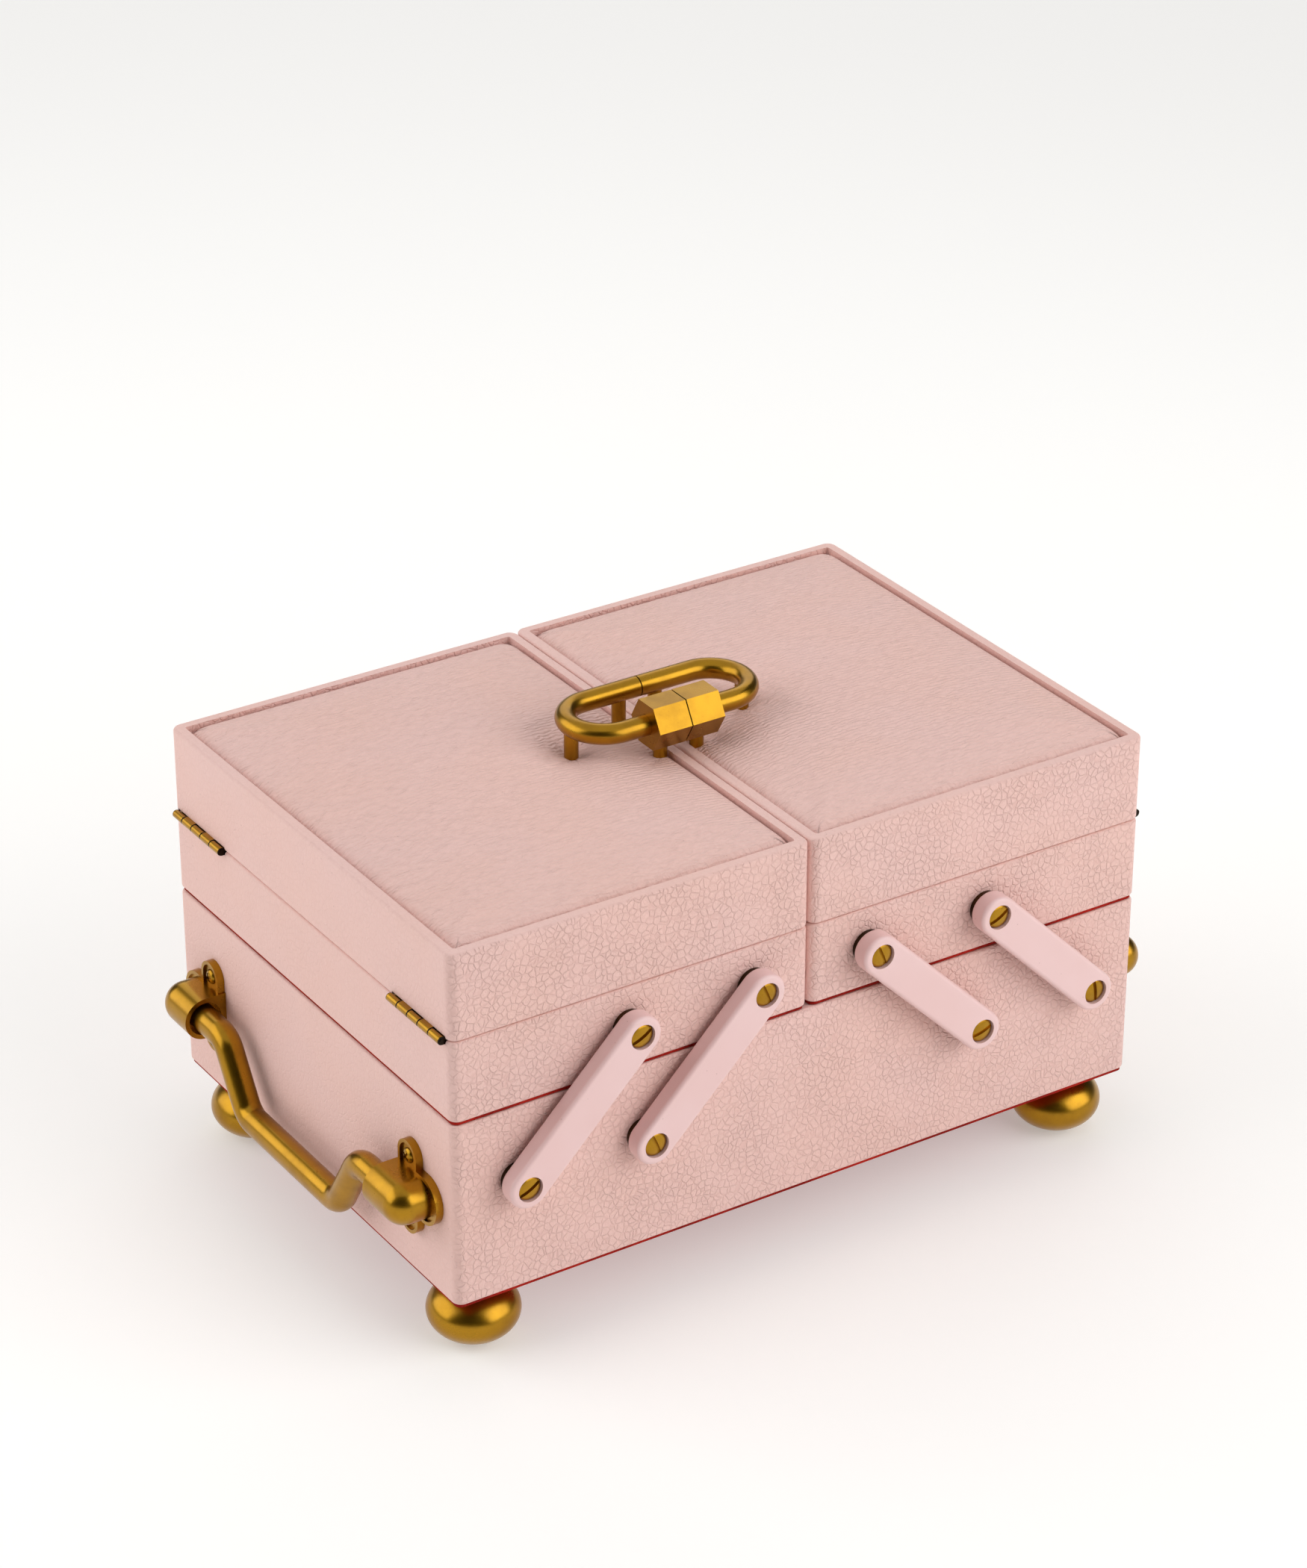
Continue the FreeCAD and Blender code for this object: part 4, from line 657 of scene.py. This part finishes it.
class BrassFinish(bpy.types.PropertyGroup):
    """Colour and polish of the fittings."""

    colour: colour_setting("Colour", "Clean brass", "#AC7F1C")
    patina: colour_setting("Patina", "Brown patina in the clouds and specks", "#6A4212")
    # painted shade: the washers take the deep colour of the shade behind the arms
    washer_shade_colour: colour_setting("Blackened", "Blackened washers behind the arms", "#3A2A16")
    knuckle: FloatProperty(
        name="Knuckle", description="Length of one hinge knuckle, in millimetres", default=7.2,
        min=1, max=50,
    )
    polish: FloatProperty(
        name="Polish", description="Roughness of the cleanest metal", default=0.26, min=0, max=1,
        subtype="FACTOR",
    )


class LacquerFinish(bpy.types.PropertyGroup):
    """Colour of the swinging arms."""

    colour: colour_setting("Colour", "Lacquer colour", "#EBC8C6")
    shade: colour_setting("Shade", "Slightly deeper drift of the colour", "#E9C4C1")


class ClothFinish(bpy.types.PropertyGroup):
    """Colours of the lining and of the underside panels."""

    colour: colour_setting("Colour", "Raised pile", "#AC2419")
    deep: colour_setting("Deep colour", "Brushed-down pile", "#76120D")


class PaddedPanelSizes(bpy.types.PropertyGroup):
    """Shape of the padded lid panels."""

    edge_drop: FloatProperty(
        name="Edge drop", description="Depth of the edge below the rim, in millimetres",
        default=3.0, min=0, max=6,
    )
    roll: FloatProperty(
        name="Edge roll", description="Climb of the rolled edge, in millimetres",
        default=4.6, min=0, max=8,
    )
    roll_width: FloatProperty(
        name="Roll width", description="Width of the rolled edge, in millimetres",
        default=11.0, min=1, max=40,
    )
    crown: FloatProperty(
        name="Crown", description="Further rise to the middle, in millimetres",
        default=1.6, min=0, max=10,
    )
    dimple: FloatProperty(
        name="Dimple", description="Depth of the dimples at the posts, in millimetres",
        default=4.0, min=0, max=8,
    )
    dimple_width: FloatProperty(
        name="Dimple width", description="Reach of the dimples, in millimetres", default=11.0,
        min=1, max=30,
    )
    pucker: FloatProperty(
        name="Pucker", description="Height of the puckers at the posts, in millimetres",
        default=0.45, min=0, max=3,
    )
    pucker_reach: FloatProperty(
        name="Pucker reach", description="Reach of the puckers, in millimetres", default=11.0,
        min=1, max=40,
    )
    post_reach: FloatProperty(
        name="Post reach", description="From the joint to the nearest posts, in millimetres",
        default=8.0, min=1, max=30,
    )
    swell: FloatProperty(
        name="Swell", description="Furthest the pad may swell, in millimetres", default=1.5,
        min=0, max=10,
    )


class StudioSetup(bpy.types.PropertyGroup):
    """Camera, floor and soft boxes."""

    focal_length: FloatProperty(
        name="Focal length", description="Lens, in millimetres", default=103.8, min=10, max=400,
        unit="CAMERA",
    )
    backdrop: colour_setting("Backdrop", "Colour that the floor fades to", "#F4F3F1")
    floor_colour: colour_setting("Floor", "Pale floor round the box", "#E0DFDD")
    floor_glow: FloatProperty(
        name="Floor glow", description="Light that comes through the floor", default=0.38,
        min=0, max=1,
    )
    room: FloatProperty(
        name="Room light", description="Brightness of the dim room", default=0.03, min=0, max=5,
    )
    left: FloatProperty(
        name="Left box", description="Brightness of the left soft box", default=2.2, min=0,
        max=50,
    )
    right: FloatProperty(
        name="Right box", description="Brightness of the right soft box", default=2.8, min=0,
        max=50,
    )
    top: FloatProperty(
        name="Top box", description="Brightness of the overhead soft box", default=0.72, min=0,
        max=50,
    )
    rear: FloatProperty(
        name="Rear box", description="Brightness of the soft box behind", default=1.3, min=0,
        max=50,
    )


class SewingBoxSettings(bpy.types.PropertyGroup):
    """Everything that can be changed on the sewing box."""

    leather: PointerProperty(type=LeatherFinish, name="Leather")
    brass: PointerProperty(type=BrassFinish, name="Brass")
    lacquer: PointerProperty(type=LacquerFinish, name="Lacquer")
    cloth: PointerProperty(type=ClothFinish, name="Cloth")
    padding: PointerProperty(type=PaddedPanelSizes, name="Padded panels")
    studio: PointerProperty(type=StudioSetup, name="Studio")


# --- operators ----------------------------------------------------------------------------------

class SEWINGBOX_OT_leather(bpy.types.Operator):
    """Cover the base, the trays and the lids with leather"""

    bl_idname = "sewing_box.leather"
    bl_label = "Leather Sections"

    def execute(self, context):
        leather = leather_material("drum_dyed_calf_leather", context.scene.sewing_box.leather)
        finish_nodes(leather, "_leather_wrap")
        return {"FINISHED"}


class SEWINGBOX_OT_padded_panels(bpy.types.Operator):
    """Make both padded lid panels"""

    bl_idname = "sewing_box.padded_panels"
    bl_label = "Padded Lid Panels"

    def execute(self, context):
        settings = context.scene.sewing_box
        leather = leather_material("padded_calf_leather", settings.leather, padded=True)
        for side in SIDES:
            posts = post_places(side, settings.padding.post_reach * MM)
            panel = padded_panel(side, settings.padding, posts, leather)
            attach(panel, side + "_lid")
            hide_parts(side + "_lid_padded_panel")
        return {"FINISHED"}


class SEWINGBOX_OT_arms(bpy.types.Operator):
    """Lacquer the eight swinging arms"""

    bl_idname = "sewing_box.arms"
    bl_label = "Swinging Arms"

    def execute(self, context):
        lacquer = lacquer_material("satin_pink_lacquer", context.scene.sewing_box.lacquer)
        finish_nodes(lacquer, "_arm")
        return {"FINISHED"}


class SEWINGBOX_OT_brass(bpy.types.Operator):
    """Finish the feet, handles, brackets, hinges, screws and clasp in aged brass"""

    bl_idname = "sewing_box.brass"
    bl_label = "Brass Fittings"

    def execute(self, context):
        finish = context.scene.sewing_box.brass
        brass = brass_material("tumbled_aged_brass", finish, finish.colour)
        finish_nodes(
            brass, "_foot", "_handle", "_handle_bracket", "_screws", "_clasp_link", "_clasp_nut"
        )
        # painted shade: the washers behind the arms are given the colour of the shade that falls
        # there
        shaded_washer_brass = brass_material("painted_shade_washer_brass", finish, finish.washer_shade_colour)
        finish_nodes(shaded_washer_brass, "_washers")
        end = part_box("left_hinge_pins")[1].y
        hinges = brass_material("rolled_hinge_brass", finish, finish.colour, end)
        finish_nodes(hinges, "_hinge_leaves", "_hinge_pins")
        return {"FINISHED"}


class SEWINGBOX_OT_cloth(bpy.types.Operator):
    """Line the inside and cover the undersides with red suede cloth"""

    bl_idname = "sewing_box.cloth"
    bl_label = "Red Suede Cloth"

    def execute(self, context):
        finish = context.scene.sewing_box.cloth
        finish_nodes(suede_material("brushed_red_suede", finish, 0.6), "_lining")
        finish_nodes(suede_material("red_suede_on_board", finish, 0.5), "_underside_panel")
        return {"FINISHED"}


class SEWINGBOX_OT_plywood(bpy.types.Operator):
    """Give the hidden carcasses their birch plywood"""

    bl_idname = "sewing_box.plywood"
    bl_label = "Plywood Carcasses"

    def execute(self, context):
        finish_nodes(plywood_material("sanded_birch_plywood"), "_carcass")
        return {"FINISHED"}


class SEWINGBOX_OT_studio(bpy.types.Operator):
    """Set up the floor, the soft boxes and the camera"""

    bl_idname = "sewing_box.studio"
    bl_label = "Studio"

    def execute(self, context):
        scene = context.scene
        setup = scene.sewing_box.studio
        scene.view_settings.view_transform = "Standard"

        world = bpy.data.worlds.new("studio_room")
        world.use_nodes = True
        world.node_tree.nodes.clear()
        add = partial(add_node, world.node_tree)
        room = add("Background", {"Color": linear("#F4F3F1"), "Strength": setup.room})
        seen = add("Background", {"Color": with_alpha(setup.backdrop), "Strength": 1.0})
        straight = add("LightPath", {}, out="Is Camera Ray")
        add("OutputWorld", {"Surface": add("MixShader", {0: straight, 1: room, 2: seen})})
        scene.world = world

        turn = np.linspace(0, 2 * math.pi, FLOOR_CORNERS + 1)[:-1]
        rim = np.stack([np.cos(turn), np.sin(turn), 0 * turn], 1) * FLOOR_RADIUS
        paper = backdrop_material("matt_backdrop_paper", setup)
        mesh_object("studio_floor", rim, [list(range(FLOOR_CORNERS))], paper)

        # azimuth and elevation, in degrees; distance, then width and height, in metres
        soft_box("left_box", 150, 27, 2.2, (2.6, 1.7), setup.left)
        soft_box("right_box", -57, 27, 2.2, (2.4, 1.7), setup.right)
        soft_box("top_box", 60, 89, 1.9, (3.0, 3.0), setup.top)
        soft_box("rear_box", 60, 33, 2.4, (2.6, 1.3), setup.rear)

        camera = bpy.data.objects.new("camera", bpy.data.cameras.new("camera"))
        scene.collection.objects.link(camera)
        camera.data.lens = setup.focal_length
        camera.data.sensor_width = SENSOR_WIDTH
        camera.data.clip_start = 0.05
        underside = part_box("base_underside_panel")[0].z
        east, north, up = CAMERA_PLACE
        camera.location = (east, north, up + underside)
        camera.rotation_mode = "QUATERNION"
        camera.rotation_quaternion = Vector(CAMERA_AIM).to_track_quat("-Z", "Y")
        scene.camera = camera
        return {"FINISHED"}


STEPS = (
    SEWINGBOX_OT_studio, SEWINGBOX_OT_leather, SEWINGBOX_OT_padded_panels, SEWINGBOX_OT_arms,
    SEWINGBOX_OT_brass, SEWINGBOX_OT_cloth, SEWINGBOX_OT_plywood,
)


class SEWINGBOX_PT_sidebar(bpy.types.Panel):
    """The box's pieces in the sidebar"""

    bl_label = "Sewing Box"
    bl_idname = "SEWINGBOX_PT_sidebar"
    bl_space_type = "VIEW_3D"
    bl_region_type = "UI"
    bl_category = "Sewing Box"

    def draw(self, context):
        settings = context.scene.sewing_box
        for step in STEPS:
            self.layout.operator(step.bl_idname)
        for part in ("leather", "brass", "lacquer", "cloth", "padding", "studio"):
            group = getattr(settings, part)
            box = self.layout.box()
            box.label(text=group.__class__.__doc__)
            for name in group.__annotations__:
                box.prop(group, name)


CLASSES = (
    LeatherFinish, BrassFinish, LacquerFinish, ClothFinish, PaddedPanelSizes, StudioSetup,
    SewingBoxSettings,
) + STEPS + (SEWINGBOX_PT_sidebar,)


def register():
    """Register every class and hang the settings on the scene."""
    for cls in CLASSES:
        bpy.utils.register_class(cls)
    bpy.types.Scene.sewing_box = PointerProperty(type=SewingBoxSettings)


def unregister():
    """Undo what register did, in the opposite order."""
    del bpy.types.Scene.sewing_box
    for cls in reversed(CLASSES):
        bpy.utils.unregister_class(cls)


def main():
    """Register, and make every piece in order."""
    register()
    for step in STEPS:
        group, name = step.bl_idname.split(".")
        getattr(getattr(bpy.ops, group), name)()


if __name__ == "__main__":
    main()
